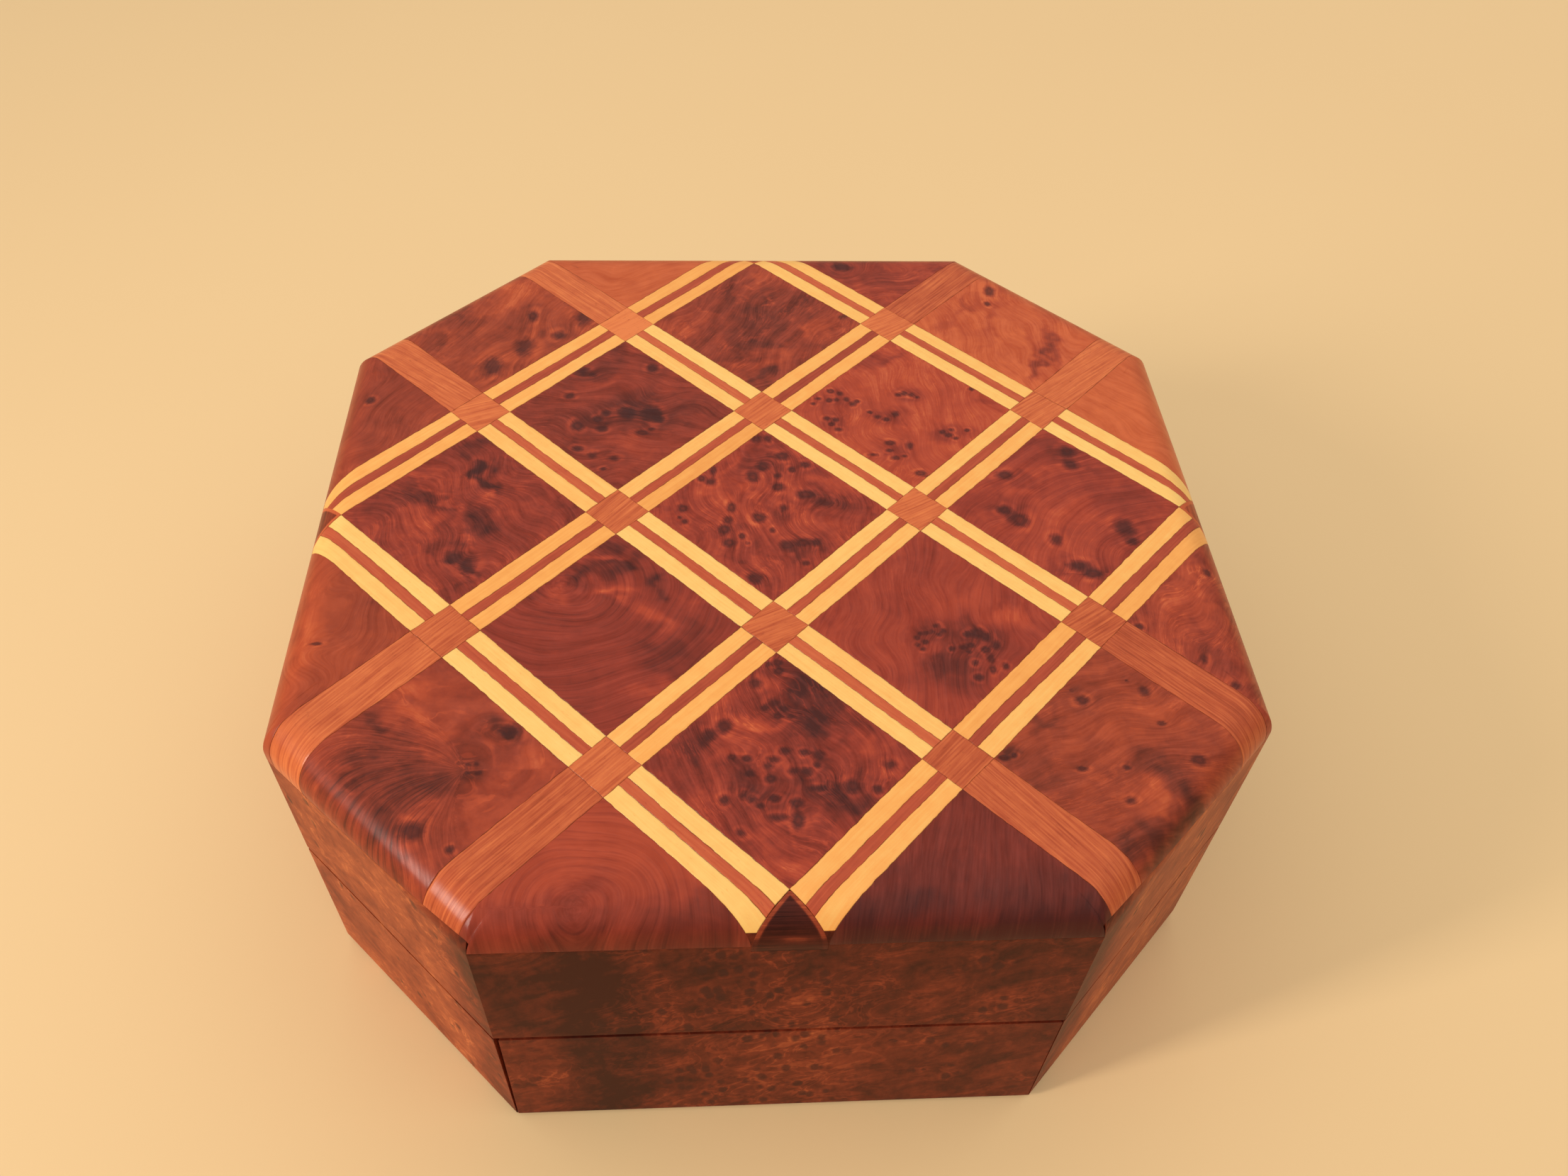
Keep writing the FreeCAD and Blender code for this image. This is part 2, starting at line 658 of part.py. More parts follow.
def bolt_heights():
    """Heights of the bolt's lower and upper edges."""
    return SEAM - BOLT_DROP - BOLT_HEIGHT, SEAM - BOLT_DROP


def hook_end():
    """x of the hook's closed edge."""
    return HOOK_START + HOOK_NOTCH + HOOK_WEB


def key_axis_height():
    """Height of the keyhole's middle."""
    return SEAM - KEYHOLE_DROP


def lock_mortise():
    """The room for the lock case, open at the top and towards the inside."""
    half = LOCK_WIDTH / 2 + LOCK_FIT
    return block(-half, half, case_front() - LOCK_FIT, WALL, case_foot() - LOCK_FIT, SEAM)


def keyhole():
    """A keyhole from the hidden face into the lock case."""
    z = key_axis_height()
    depth = case_front() + LOCK_SKIN
    bow = rod(KEYHOLE, Vector(0, 0, z), Vector(0, depth, 0))
    return joined(bow, block(-KEYHOLE_SLOT / 2, KEYHOLE_SLOT / 2, 0, depth, z - KEYHOLE_SLOT_DROP, z))


def keyhole_plate_form(grow=0.0):
    """An upright plate with round ends, let into the hidden face."""
    z = key_axis_height()
    radius = PLATE_WIDTH / 2 + grow
    top = z + PLATE_ABOVE - PLATE_WIDTH / 2
    foot = z - PLATE_BELOW + PLATE_WIDTH / 2
    run = Vector(0, PLATE, 0)
    ends = [rod(radius, Vector(0, HIDDEN_FACE, height), run) for height in (top, foot)]
    return joined(block(-radius, radius, HIDDEN_FACE, HIDDEN_FACE + PLATE, foot, top), *ends)


def keyhole_pin_forms(grow=0.0):
    """The two pins that hold the keyhole plate."""
    z = key_axis_height() - PLATE_PIN_DROP
    run = Vector(0, PLATE_PIN_LENGTH, 0)
    return [rod(PLATE_PIN + grow, Vector(x, HIDDEN_FACE, z), run)
            for x in (-PLATE_PIN_SPACING / 2, PLATE_PIN_SPACING / 2)]


def cover_screw_points():
    """The heads of the cover's four screws."""
    x = cover_half() - COVER_SCREW_INSET
    heights = (cover_foot() + COVER_SCREW_EDGE, case_top() - COVER_SCREW_EDGE)
    return [Vector(sign * x, WALL + COVER, z) for sign in (-1, 1) for z in heights]


def lock_case():
    """A sheet case, open at the back, with a keyhole and a slot for the hook."""
    half = LOCK_WIDTH / 2
    near, far = bolt_depths()
    case = block(-half, half, case_front(), WALL, case_foot(), case_top())
    room = block(-half + LOCK_SKIN, half - LOCK_SKIN, case_front() + LOCK_SKIN, WALL,
                 case_foot() + LOCK_SKIN, case_top() - LOCK_SKIN)
    slot = block(HOOK_START - HOOK_SLOT_GAP, hook_end() + HOOK_SLOT_GAP, near - HOOK_SLOT_GAP,
                 far + HOOK_SLOT_GAP, case_top() - LOCK_SKIN, SEAM)
    return case.cut([room, slot, keyhole()])


def lock_cover():
    """The plate that closes the lock, screwed to the wall on both sides of it."""
    cover = block(-cover_half(), cover_half(), WALL, WALL + COVER, cover_foot(), case_top())
    return cover.cut([screw_hole(point, OUTWARD, COVER_SCREW) for point in cover_screw_points()])


def bolt_slot():
    """Ends of the slot in the bolt, and the guide pin's place at its right end."""
    tail = -LOCK_WIDTH / 2 + LOCK_SKIN + BOLT_TAIL_GAP
    start = tail + GUIDE_WEB
    end = start + BOLT_TRAVEL + 2 * (GUIDE_PIN + GUIDE_FIT)
    return tail, start, end, end - GUIDE_PIN - GUIDE_FIT


def lock_bolt():
    """A flat bolt with a guide slot and a notch for the key, drawn back from the hook."""
    near, far = bolt_depths()
    low, high = bolt_heights()
    tail, slot_start, slot_end, _ = bolt_slot()
    bolt = block(tail, HOOK_START - BOLT_NOSE_GAP, near, far, low, high)
    half_slot = GUIDE_PIN + GUIDE_FIT
    middle = (low + high) / 2
    slot = block(slot_start, slot_end, near, far, middle - half_slot, middle + half_slot)
    talon = block(-TALON_WIDTH / 2, TALON_WIDTH / 2, near, far, low, low + TALON_DEPTH)
    return bolt.cut([slot, talon])


def lock_posts():
    """The post that the key fits over, and the pin that guides the bolt, both on the cover."""
    near, _ = bolt_depths()
    low, high = bolt_heights()
    guide_x = bolt_slot()[3]
    key_post = rod(KEY_POST, Vector(0, WALL, key_axis_height()),
                   OUTWARD * (WALL - case_front() - LOCK_SKIN - KEY_POST_GAP))
    guide = rod(GUIDE_PIN, Vector(guide_x, WALL, (low + high) / 2), OUTWARD * (WALL - near))
    return [key_post, guide]


def lock_spring():
    """A bowed leaf between the case's top and the bolt."""
    near, far = bolt_depths()
    start = -LOCK_WIDTH / 2 + LOCK_SKIN + SPRING_SIDE_GAP
    middle = start + SPRING_LENGTH / 2
    end = start + SPRING_LENGTH
    high = case_top() - LOCK_SKIN
    low = bolt_heights()[1] + SPRING_GAP
    upper = Part.Arc(Vector(start, near, high), Vector(middle, near, low + SPRING), Vector(end, near, high))
    foot = high - SPRING
    lower = Part.Arc(Vector(end, near, foot), Vector(middle, near, low), Vector(start, near, foot))
    ends = [Part.LineSegment(Vector(x, near, z0), Vector(x, near, z1))
            for x, z0, z1 in ((end, high, foot), (start, foot, high))]
    outline = [curve.toShape() for curve in (upper, ends[0], lower, ends[1])]
    return Part.Face(Part.Wire(outline)).extrude(Vector(0, far - near, 0))


def strike_middle():
    """x of the strike plate's middle, over the hook."""
    return (HOOK_START + hook_end()) / 2


def strike_screw_points():
    """The heads of the strike plate's screws."""
    depth = (case_front() + WALL) / 2
    return [Vector(strike_middle() + sign * STRIKE_SCREW_SPACING / 2, depth, SEAM) for sign in (-1, 1)]


def strike_mortise():
    """The room for the strike plate in the lid's front wall, with its screw holes."""
    half = STRIKE_WIDTH / 2 + LOCK_FIT
    room = block(strike_middle() - half, strike_middle() + half, case_front() - LOCK_FIT, WALL,
                 SEAM, SEAM + STRIKE)
    holes = [screw_hole(point, UP, STRIKE_SCREW) for point in strike_screw_points()]
    return [FRONT.seat(cut) for cut in [room] + holes]


def strike_plate():
    """A plate let into the lid's edge, with a hook that hangs into the lock."""
    near, far = bolt_depths()
    low, high = bolt_heights()
    half = STRIKE_WIDTH / 2
    plate = block(strike_middle() - half, strike_middle() + half, case_front(), WALL, SEAM, SEAM + STRIKE)
    hook = block(HOOK_START, hook_end(), near, far, low - HOOK_FIT - HOOK_TOE, SEAM + STRIKE)
    notch = block(HOOK_START, HOOK_START + HOOK_NOTCH, near, far, low - HOOK_FIT, high + HOOK_FIT)
    holes = [screw_hole(point, UP, STRIKE_SCREW) for point in strike_screw_points()]
    return joined(plate, hook.cut(notch)).cut(holes)


def lock():
    """The lock, its keyhole plate and the strike plate, by node."""
    pieces = {
        "lock_case": [lock_case()],
        "lock_cover": [lock_cover()],
        "lock_posts": lock_posts(),
        "lock_spring": [lock_spring()],
        "lock_bolt": [lock_bolt()],
        "lock_screws": [screw(point, OUTWARD, COVER_SCREW) for point in cover_screw_points()],
        "strike_plate": [strike_plate()],
        "strike_screws": [screw(point, UP, STRIKE_SCREW) for point in strike_screw_points()],
        "keyhole_plate": [keyhole_plate_form().cut([keyhole()] + keyhole_pin_forms(SCREW_FIT))],
        "keyhole_pins": keyhole_pin_forms(),
    }
    return {name: [FRONT.seat(solid) for solid in solids] for name, solids in pieces.items()}


# Key

def pocket_end():
    """x of the pocket's right end, beside the front corner."""
    return KEY_SIDE.reach(HIDDEN_FACE + POCKET_DEPTH) - POCKET_WALL


def key_pocket():
    """The hollow that holds the key, closed by the key panel."""
    start = pocket_end() - KEY_LENGTH - 2 * POCKET_GAP
    top = POCKET_FOOT + POCKET_REST + 2 * KEY_BOW + POCKET_GAP
    return block(start, pocket_end(), 0, HIDDEN_FACE + POCKET_DEPTH, POCKET_FOOT, top)


def key():
    """A hollow-ended key with a ring bow, lying on the pocket's ledge with its bit down."""
    depth = HIDDEN_FACE + POCKET_DEPTH / 2
    z = POCKET_FOOT + POCKET_REST + KEY_BOW
    bow_end = pocket_end() - POCKET_GAP
    tip = bow_end - KEY_LENGTH
    bow_x = bow_end - KEY_BOW
    face = Vector(bow_x, depth - KEY_BOW_THICK / 2, z)
    run = Vector(0, KEY_BOW_THICK, 0)
    ring = rod(KEY_BOW, face, run).cut(rod(KEY_BOW_HOLE, face, run))
    shank_end = bow_x - (KEY_BOW + KEY_BOW_HOLE) / 2
    shank = rod(KEY_SHANK, Vector(tip, depth, z), ALONG * (shank_end - tip))
    collar_x = bow_x - KEY_BOW - KEY_COLLAR_WIDTH
    collar = rod(KEY_COLLAR, Vector(collar_x, depth, z), ALONG * KEY_COLLAR_WIDTH)
    bit_x = tip + KEY_BIT_INSET
    half = KEY_BIT_THICK / 2
    bit = block(bit_x, bit_x + KEY_BIT_WIDTH, depth - half, depth + half, z - KEY_BIT_REACH, z)
    ward_x = bit_x + (KEY_BIT_WIDTH - KEY_WARD) / 2
    ward = block(ward_x, ward_x + KEY_WARD, depth - half, depth + half,
                 z - KEY_BIT_REACH, z - (KEY_SHANK + KEY_BIT_REACH) / 2)
    bore = rod(KEY_BORE, Vector(tip, depth, z), ALONG * KEY_BORE_DEPTH)
    return KEY_SIDE.seat(joined(ring, shank, collar, bit).cut([ward, bore]))


def build():
    """Every node of the box with its solids."""
    form = outer_form()
    pieces = lid(form)
    pieces.update(base_walls(form))
    pieces.update(panels(form))
    pieces.update(lips())
    pieces.update(hinges())
    pieces.update(lock())
    pieces["base_floor"] = [octagon(WALL, 0, FLOOR)]
    pieces["key"] = [key()]
    return pieces


os.makedirs("parts", exist_ok=True)
for node, shapes in build().items():
    solids = [solid for shape in shapes for solid in shape.Solids]
    Part.makeCompound(solids).exportStep(f"parts/{node}.step")
    print(node, len(solids), round(sum(solid.Volume for solid in solids), 2),
          all(solid.isValid() for solid in solids))
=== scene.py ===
"""Looks of the octagonal puzzle box: marquetry lid, burl walls, hidden lock and hidden key."""

import itertools
import math

import bpy
import numpy as np
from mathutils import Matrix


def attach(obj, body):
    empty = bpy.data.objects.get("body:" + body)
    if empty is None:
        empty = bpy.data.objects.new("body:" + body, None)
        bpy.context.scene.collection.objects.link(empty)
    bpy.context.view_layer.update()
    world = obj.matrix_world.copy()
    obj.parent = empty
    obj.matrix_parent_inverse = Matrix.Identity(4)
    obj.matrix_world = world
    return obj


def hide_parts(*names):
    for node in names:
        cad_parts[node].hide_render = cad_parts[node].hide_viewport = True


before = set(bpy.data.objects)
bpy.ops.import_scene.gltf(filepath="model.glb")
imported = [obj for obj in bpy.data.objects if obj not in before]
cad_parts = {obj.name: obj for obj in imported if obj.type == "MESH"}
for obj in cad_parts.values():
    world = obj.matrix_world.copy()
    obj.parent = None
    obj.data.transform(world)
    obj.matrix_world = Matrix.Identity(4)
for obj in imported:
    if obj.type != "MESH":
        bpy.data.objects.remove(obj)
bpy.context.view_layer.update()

# Sizes of the solids, in millimetres
MM = 0.001
WIDTH = 140.0
CORNER_CUT = 30.5
HEIGHT = 60.6
TOP_ROUND = 6.0
BAND = 6.8
RED_STRIP = 1.6
STRIP_DEPTH = 3.2  # depth below the top at which the strips end
END_DEPTH = 6.8  # and the half squares
ROOT2 = math.sqrt(2)
PITCH = WIDTH / (3 * ROOT2)
LONG_FACE = WIDTH / 2
SLANT_FACE = (WIDTH - CORNER_CUT) / ROOT2
LONG_HALF = LONG_FACE - CORNER_CUT
SLANT_HALF = CORNER_CUT / ROOT2
LINES = PITCH * np.array([-1.5, -0.5, 0.5, 1.5])
OUTER_LINES = 0, 3
GAPS = [(near + BAND / 2, far - BAND / 2) for near, far in zip(LINES, LINES[1:])]
BORDER = LINES[-1] + BAND / 2
STRIP_INSET = TOP_ROUND * (1 - math.sqrt(1 - (1 - STRIP_DEPTH / TOP_ROUND) ** 2))
STRIP_END = ROOT2 * (LONG_FACE - STRIP_INSET)

# The eight sides, counted from the front to the right: outward directions and face distances
TURNS = np.radians(45.0 * np.arange(8))
OUTWARD = np.stack([np.sin(TURNS), -np.cos(TURNS)], 1)
ALONG = np.stack([np.cos(TURNS), np.sin(TURNS)], 1)
FACES = np.where(np.arange(8) % 2 == 0, LONG_FACE, SLANT_FACE)
FRONT, RIGHT, BACK, LEFT = 0, 2, 4, 6
FRONT_RIGHT, BACK_RIGHT, BACK_LEFT, FRONT_LEFT = 1, 3, 5, 7

# Depth of the lid's joint at each side's left and right end
JOINTS = np.full((8, 2), 6.4)
JOINTS[FRONT] = 5.4, 5.6
JOINTS[FRONT_RIGHT] = 3.2, 6.4
JOINTS[FRONT_LEFT] = 8.0, 3.2

# Hand work
EASED = 0.09  # width of a piece's softened edge
EASE_DROP = 0.02  # and how far it falls
PLAY = 0.008  # half the gap between two pieces
INLAY = 2.4  # thickness of the marquetry pieces
TIP_CUT = 0.15  # how far the half squares' tips are cut back
CROWDED = 0.6  # how much a grid's lines crowd towards its ends
CORNER_HOLD = 1.0  # how near the box's corners edges run true

# Random fields: height, length and seed of each, of edges, glue lines, tiles and grain
WAVES = 24  # plane waves in a field
WAVE_RANGE = 0.6, 1.9  # their lengths, in units of the field's own
STRAY_U = (0.05, 22, 11), (0.025, 1.6, 12)
STRAY_V = (0.05, 22, 13), (0.025, 1.6, 14)
STRAY_PACE = 4  # how much quicker edges stray across their lines
STRAY_FROM, STRAY_RISE = 0.8, 3  # inset at which edges begin to stray, and the fade
GLUE_MEAN, GLUE_SWING = 0.7, ((0.25, 6, 17),)
BEND_X = (0.7, 5, 3), (0.2, 1.4, 8)
BEND_Y = (0.7, 5, 4), (0.2, 1.4, 9)
TONE_SWING = (0.5, 9, 5), (0.3, 4, 6), (0.25, 1.8, 7)
GRAIN_SWING = ((1, 13, 1),), ((1, 13, 2),)  # across the grain, and along it


def ripple(x, y, seed, length):
    """Smooth random field of about unit height: a sum of plane waves with seeded directions and
    phases, whose wavelengths lie round one length."""
    rng = np.random.default_rng(seed)
    turn = rng.uniform(0, 2 * np.pi, WAVES)
    pace = 2 * np.pi / (length * rng.uniform(*WAVE_RANGE, WAVES))
    phase = rng.uniform(0, 2 * np.pi, WAVES)
    run = x[..., None] * (pace * np.cos(turn)) + y[..., None] * (pace * np.sin(turn))
    return np.sin(run + phase).sum(-1) * math.sqrt(2 / WAVES)


def ripples(x, y, fields, seed=0):
    """A sum of such fields, each with its height, its length and its seed, counted from a first."""
    return sum(height * ripple(x, y, seed + own, length) for height, length, own in fields)


def mixed(first, second, share):
    """The first value where the share is 0, and the second where it is 1."""
    return first + (second - first) * share


def turned(x, y, turn):
    """Distances along and across a direction."""
    c, s = math.cos(turn), math.sin(turn)
    return x * c + y * s, y * c - x * s


def plan_of(u, v):
    """Lattice coordinates, which run along the two bands, to plan: an eighth of a turn."""
    return np.stack([u + v, v - u], -1) / ROOT2


def inset_of(u, v):
    """Distance in from each of the eight faces."""
    return FACES - plan_of(u, v) @ OUTWARD.T


def wandered(u, v):
    """Lattice points moved as hand-cut edges stray from their lines: two sums of random fields,
    each quick across its lines and slow along them, that fade out towards the lid's edge."""
    hold = np.clip((inset_of(u, v).min(-1) - STRAY_FROM) / STRAY_RISE, 0, 1)
    du, dv = ripples(STRAY_PACE * u, v, STRAY_U), ripples(u, STRAY_PACE * v, STRAY_V)
    return u + hold * du, v + hold * dv


def crown(u, v, below=0.0):
    """Points and normals on the lid's outside. The inset from the nearest face gives the slope: its
    sine is 1 - inset / round inside the quarter round, and nought on the flat. Points at a face go
    straight down by the distance below."""
    inset = inset_of(u, v)
    side = inset.argmin(-1)
    lean = np.clip(1 - inset.min(-1) / TOP_ROUND, 0, 1)
    rise = np.sqrt(1 - lean ** 2)
    height = HEIGHT - TOP_ROUND * (1 - rise) - below
    points = np.concatenate([plan_of(u, v), height[..., None]], -1)
    normals = np.concatenate([OUTWARD[side] * lean[..., None], rise[..., None]], -1)
    return points, normals


def eased_steps(count, width):
    """Parameters from 0 to 1: closer together towards both ends, with a narrow step at each end for
    the soft edge."""
    edge = EASED / width
    crowded = (1 - np.cos(np.linspace(0, np.pi, count))) / 2
    inner = CROWDED * crowded + (1 - CROWDED) * np.linspace(0, 1, count)
    return np.concatenate([[0], edge + (1 - 2 * edge) * inner, [1]])


def sunk_edges(points, normals):
    """The grid with its outermost rows and columns sunk along the normals."""
    drop = np.zeros(points.shape[:2])
    drop[[0, -1], :] = EASE_DROP
    drop[:, [0, -1]] = EASE_DROP
    return points - normals * drop[..., None]


def slab(points, normals, thickness):
    """A closed sheet: a grid of points, a rim of quads along its edge that goes down the normals by
    the thickness, and one flat many-sided face below. The grid is turned over if its cells face
    inwards."""
    middle = points.shape[0] // 2, points.shape[1] // 2
    across = points[middle[0], middle[1]] - points[middle[0], middle[1] - 1]
    along = points[middle[0], middle[1]] - points[middle[0] - 1, middle[1]]
    rows, cols = points.shape[:2]
    index = np.arange(rows * cols).reshape(rows, cols)
    if np.dot(np.cross(across, along), normals[middle]) < 0:
        index = index[:, ::-1]
    cells = np.stack([index[:-1, :-1], index[:-1, 1:], index[1:, 1:], index[1:, :-1]], -1)
    cells = cells.reshape(-1, 4)
    rim = np.concatenate([index[0, :-1], index[:-1, -1], index[-1, :0:-1], index[:0:-1, 0]])
    under = rows * cols + np.arange(len(rim))
    walls = np.stack([rim, under, np.roll(under, -1), np.roll(rim, -1)], -1)
    face, up = points.reshape(-1, 3), normals.reshape(-1, 3)
    corners = np.concatenate([face, face[rim] - thickness * up[rim]])
    return corners, np.concatenate([cells, walls]), under[::-1], len(cells), rim


def put(name, data):
    """A new object in the scene."""
    thing = bpy.data.objects.new(name, data)
    bpy.context.scene.collection.objects.link(thing)
    return thing


class Inlay:
    """Closed pieces of one kind, gathered into one object. Three vectors per point carry what the
    wood shows: figure (distance across the grain, distance along it, tone), mark (reach from the
    nearest eye, how much of the glue line) and blend (how brown, how mottled, depth of the year
    lines)."""

    def __init__(self):
        self.corners, self.loops, self.sizes, self.soft = [], [], [], []
        self.vectors = {"figure": [], "mark": [], "blend": []}
        self.count = 0

    def add(self, points, normals, figure, mark, blend):
        """One piece: a grid of points with normals and the three vectors. Its glue line comes and
        goes."""
        mark[[0, -1], :, 1] = 1
        mark[:, [0, -1], 1] = 1
        glue = GLUE_MEAN + ripples(points[..., 0], points[..., 1], GLUE_SWING)
        mark[..., 1] *= np.clip(glue, 0, 1)
        corners, quads, under, shown, rim = slab(sunk_edges(points, normals), normals, INLAY)
        self.corners.append(corners)
        self.loops.append(np.concatenate([quads.ravel(), under]) + self.count)
        self.sizes.append(np.append(np.full(len(quads), 4), len(under)))
        self.soft.append(np.arange(len(quads) + 1) < shown)
        self.count += len(corners)
        for title, values in (("figure", figure), ("mark", mark), ("blend", blend)):
            values = values.reshape(-1, 3)
            self.vectors[title].append(np.concatenate([values, values[rim]]))

    def add_tile(self, grid, figure, seed):
        """A burl tile with a figure."""
        points, normals = crown(*grid)
        self.add(points, normals, *figure.at(points, seed))

    def add_plain(self, grid, turn, tone, seed):
        """A piece of a plain wood, with its grain in a direction."""
        points, normals = crown(*grid)
        self.add(points, normals, *straight_grain(points, turn, tone, seed))

    def lay(self, node, ending, slot, material):
        """The gathered pieces as one object on the lid, in place of a node and named after it."""
        name = f"{node}_{ending}"
        mesh = bpy.data.meshes.new(name)
        loops, sizes = np.concatenate(self.loops), np.concatenate(self.sizes)
        mesh.vertices.add(self.count)
        mesh.vertices.foreach_set("co", (np.concatenate(self.corners) * MM).ravel())
        mesh.loops.add(len(loops))
        mesh.loops.foreach_set("vertex_index", loops)
        mesh.polygons.add(len(sizes))
        mesh.polygons.foreach_set("loop_start", np.cumsum(sizes) - sizes)
        mesh.polygons.foreach_set("use_smooth", np.concatenate(self.soft))
        for title, values in self.vectors.items():
            layer = mesh.attributes.new(title, "FLOAT_VECTOR", "POINT")
            layer.data.foreach_set("vector", np.concatenate(values).astype(np.float32).ravel())
        mesh.materials.append(material)
        mesh.update(calc_edges=True)
        piece = put(name, mesh)
        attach(piece, "lid")
        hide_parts(node)


# Outlines of the pieces

def lattice_grid(u_ends, v_ends, columns, rows):
    """A rectangle of the lattice as a grid on the lid's outside, with hand-cut edges. A corner that
    goes over a long side is cut off where the strips end, at |u| + |v| = the strips' end."""
    u0, u1 = u_ends[0] + PLAY, u_ends[1] - PLAY
    v0, v1 = v_ends[0] + PLAY, v_ends[1] - PLAY
    across = mixed(u0, u1, eased_steps(columns, u1 - u0))
    reach = STRIP_END - np.abs(across)
    low, high = np.maximum(v0, -reach), np.minimum(v1, reach)
    along = mixed(low, high, eased_steps(rows, v1 - v0)[:, None])
    u, v = wandered(across + 0 * along, along)
    return u, v, np.zeros_like(u)


def run_to_inset(run, slope):
    """Inset and further drop after a run over the edge, measured from where the round begins: plan
    distance before it, arc length on it, and straight down past it."""
    arc = np.clip(run / TOP_ROUND, 0, np.pi / 2)
    inset = np.where(run < 0, TOP_ROUND - run / slope, TOP_ROUND * (1 - np.sin(arc)))
    return inset, np.maximum(run - TOP_ROUND * np.pi / 2, 0)


def inset_to_run(inset, slope):
    """The run at an inset, the other way round."""
    lean = np.clip(1 - inset / TOP_ROUND, 0, 1)
    return np.where(inset > TOP_ROUND, (TOP_ROUND - inset) * slope, TOP_ROUND * np.arcsin(lean))


def depth_to_run(depth):
    """The run at a depth below the lid's top."""
    bent = TOP_ROUND * np.arccos(np.clip(1 - depth / TOP_ROUND, 0, 1))
    return bent + np.maximum(depth - TOP_ROUND, 0)


def border_frame(side, p, q):
    """Lattice coordinates of a point p along a slanting side and q out from the middle. Each of the
    four changes is also its own way back."""
    return {FRONT_LEFT: (p, -q), FRONT_RIGHT: (q, p),
            BACK_RIGHT: (-p, q), BACK_LEFT: (-q, -p)}[side]


def joint_at(side, p):
    """Depth of the lid's joint where a column at p reaches the edge, on a slanting side or next to
    it."""
    past = (np.abs(p) - SLANT_HALF) * ROOT2 / (2 * LONG_HALF)
    share = (p / SLANT_HALF + 1) / 2
    right, left = JOINTS[(side + 1) % 8], JOINTS[side - 1]
    beside = np.where(p > 0, mixed(right[0], right[1], past), mixed(left[1], left[0], past))
    return np.where(past > 0, beside, mixed(*JOINTS[side], share))


def border_grid(side, ends, columns, rows):
    """A piece between two lines across the border. Each column runs out from the lattice, over the
    round and down to the joint, in even steps of its run. Where the piece goes round a corner of
    the box, two columns stand close to that corner, one on each side."""
    p0, p1 = min(ends) + PLAY, max(ends) - PLAY
    across = mixed(p0, p1, eased_steps(columns, p1 - p0))
    beside = np.abs(across) > SLANT_HALF
    step = np.flatnonzero(beside[1:] != beside[:-1])
    pair = np.concatenate([step, step + 1])
    across[pair] = np.sign(across[pair]) * (SLANT_HALF + np.where(beside[pair], PLAY, -PLAY))
    p, share = np.meshgrid(across, eased_steps(rows, SLANT_FACE - BORDER))
    near = BORDER + PLAY
    rough = mixed(near, np.minimum(SLANT_FACE, LONG_FACE * ROOT2 - np.abs(p)), share)
    u, v = border_frame(side, p, rough)
    moved_u, moved_v = wandered(u, v)
    p_shift, q_shift = border_frame(side, moved_u - u, moved_v - v)
    p = p + p_shift * np.clip(np.abs(np.abs(p) - SLANT_HALF) / CORNER_HOLD, 0, 1)
    beside = np.abs(p) > SLANT_HALF
    slope = np.where(beside, ROOT2, 1.0)
    rim = np.where(beside, LONG_FACE * ROOT2 - np.abs(p), SLANT_FACE)
    start = inset_to_run((rim - near - q_shift[:1]) / slope, slope)
    end = np.maximum(depth_to_run(joint_at(side, p)), start + EASED)
    inset, below = run_to_inset(mixed(start, end, share), slope)
    u, v = border_frame(side, p, rim - inset * slope)
    return u, v, below


def end_triangle(side, columns, rows):
    """The half square in the middle of a long side: rows at even runs from its tip to its foot,
    each as wide as its inset leaves of the half diagonal."""
    foot = depth_to_run(END_DEPTH)
    start = inset_to_run(BAND / ROOT2 - TIP_CUT, 1.0)
    down, wide = eased_steps(rows, foot - start), 2 * eased_steps(columns, BAND) - 1
    share, spread = np.meshgrid(down, wide, indexing="ij")
    inset, below = run_to_inset(mixed(start, foot, share), 1.0)
    x = spread * (BAND / ROOT2 - PLAY * ROOT2 - inset)
    plan = ALONG[side] * x[..., None] + OUTWARD[side] * (LONG_FACE - inset)[..., None]
    return (plan[..., 0] - plan[..., 1]) / ROOT2, (plan[..., 0] + plan[..., 1]) / ROOT2, below


# Figure of the wood

RING_SQUASH = 1.2  # how much flatter than round the rings are
RING_PACE, FAN_PACE = 6, 15  # millimetres to a radian, along rings and across a fan
FAN_LIMIT = 1.3  # radians to each side over which a fan's lines turn
FAN_END, FAN_FADE = 1.15, 0.5  # radians at which they have gone, and the fade before
SLIGHT_BEND = 0.4  # how far rings and fans are bent
NO_EYES = [(900, 900, 1, 1)]  # one eye far away
EYE_RANGE = 0.35  # how much eyes differ in strength
EYE_MERGE, TINY = 2, 1e-30  # sharpness of the soft least, and what keeps it finite
HILL, HILL_REACH = 0.9, 7  # how far the grain goes round an eye
SMOKE, SMOKE_REACH, SMOKE_LIMIT = 0.1, 8, 1.5  # the dark round an eye
NO_EYE_REACH = 99  # reach in woods that have no eyes
GRAIN_OFFSET = 200  # largest offset of a plain piece's lines


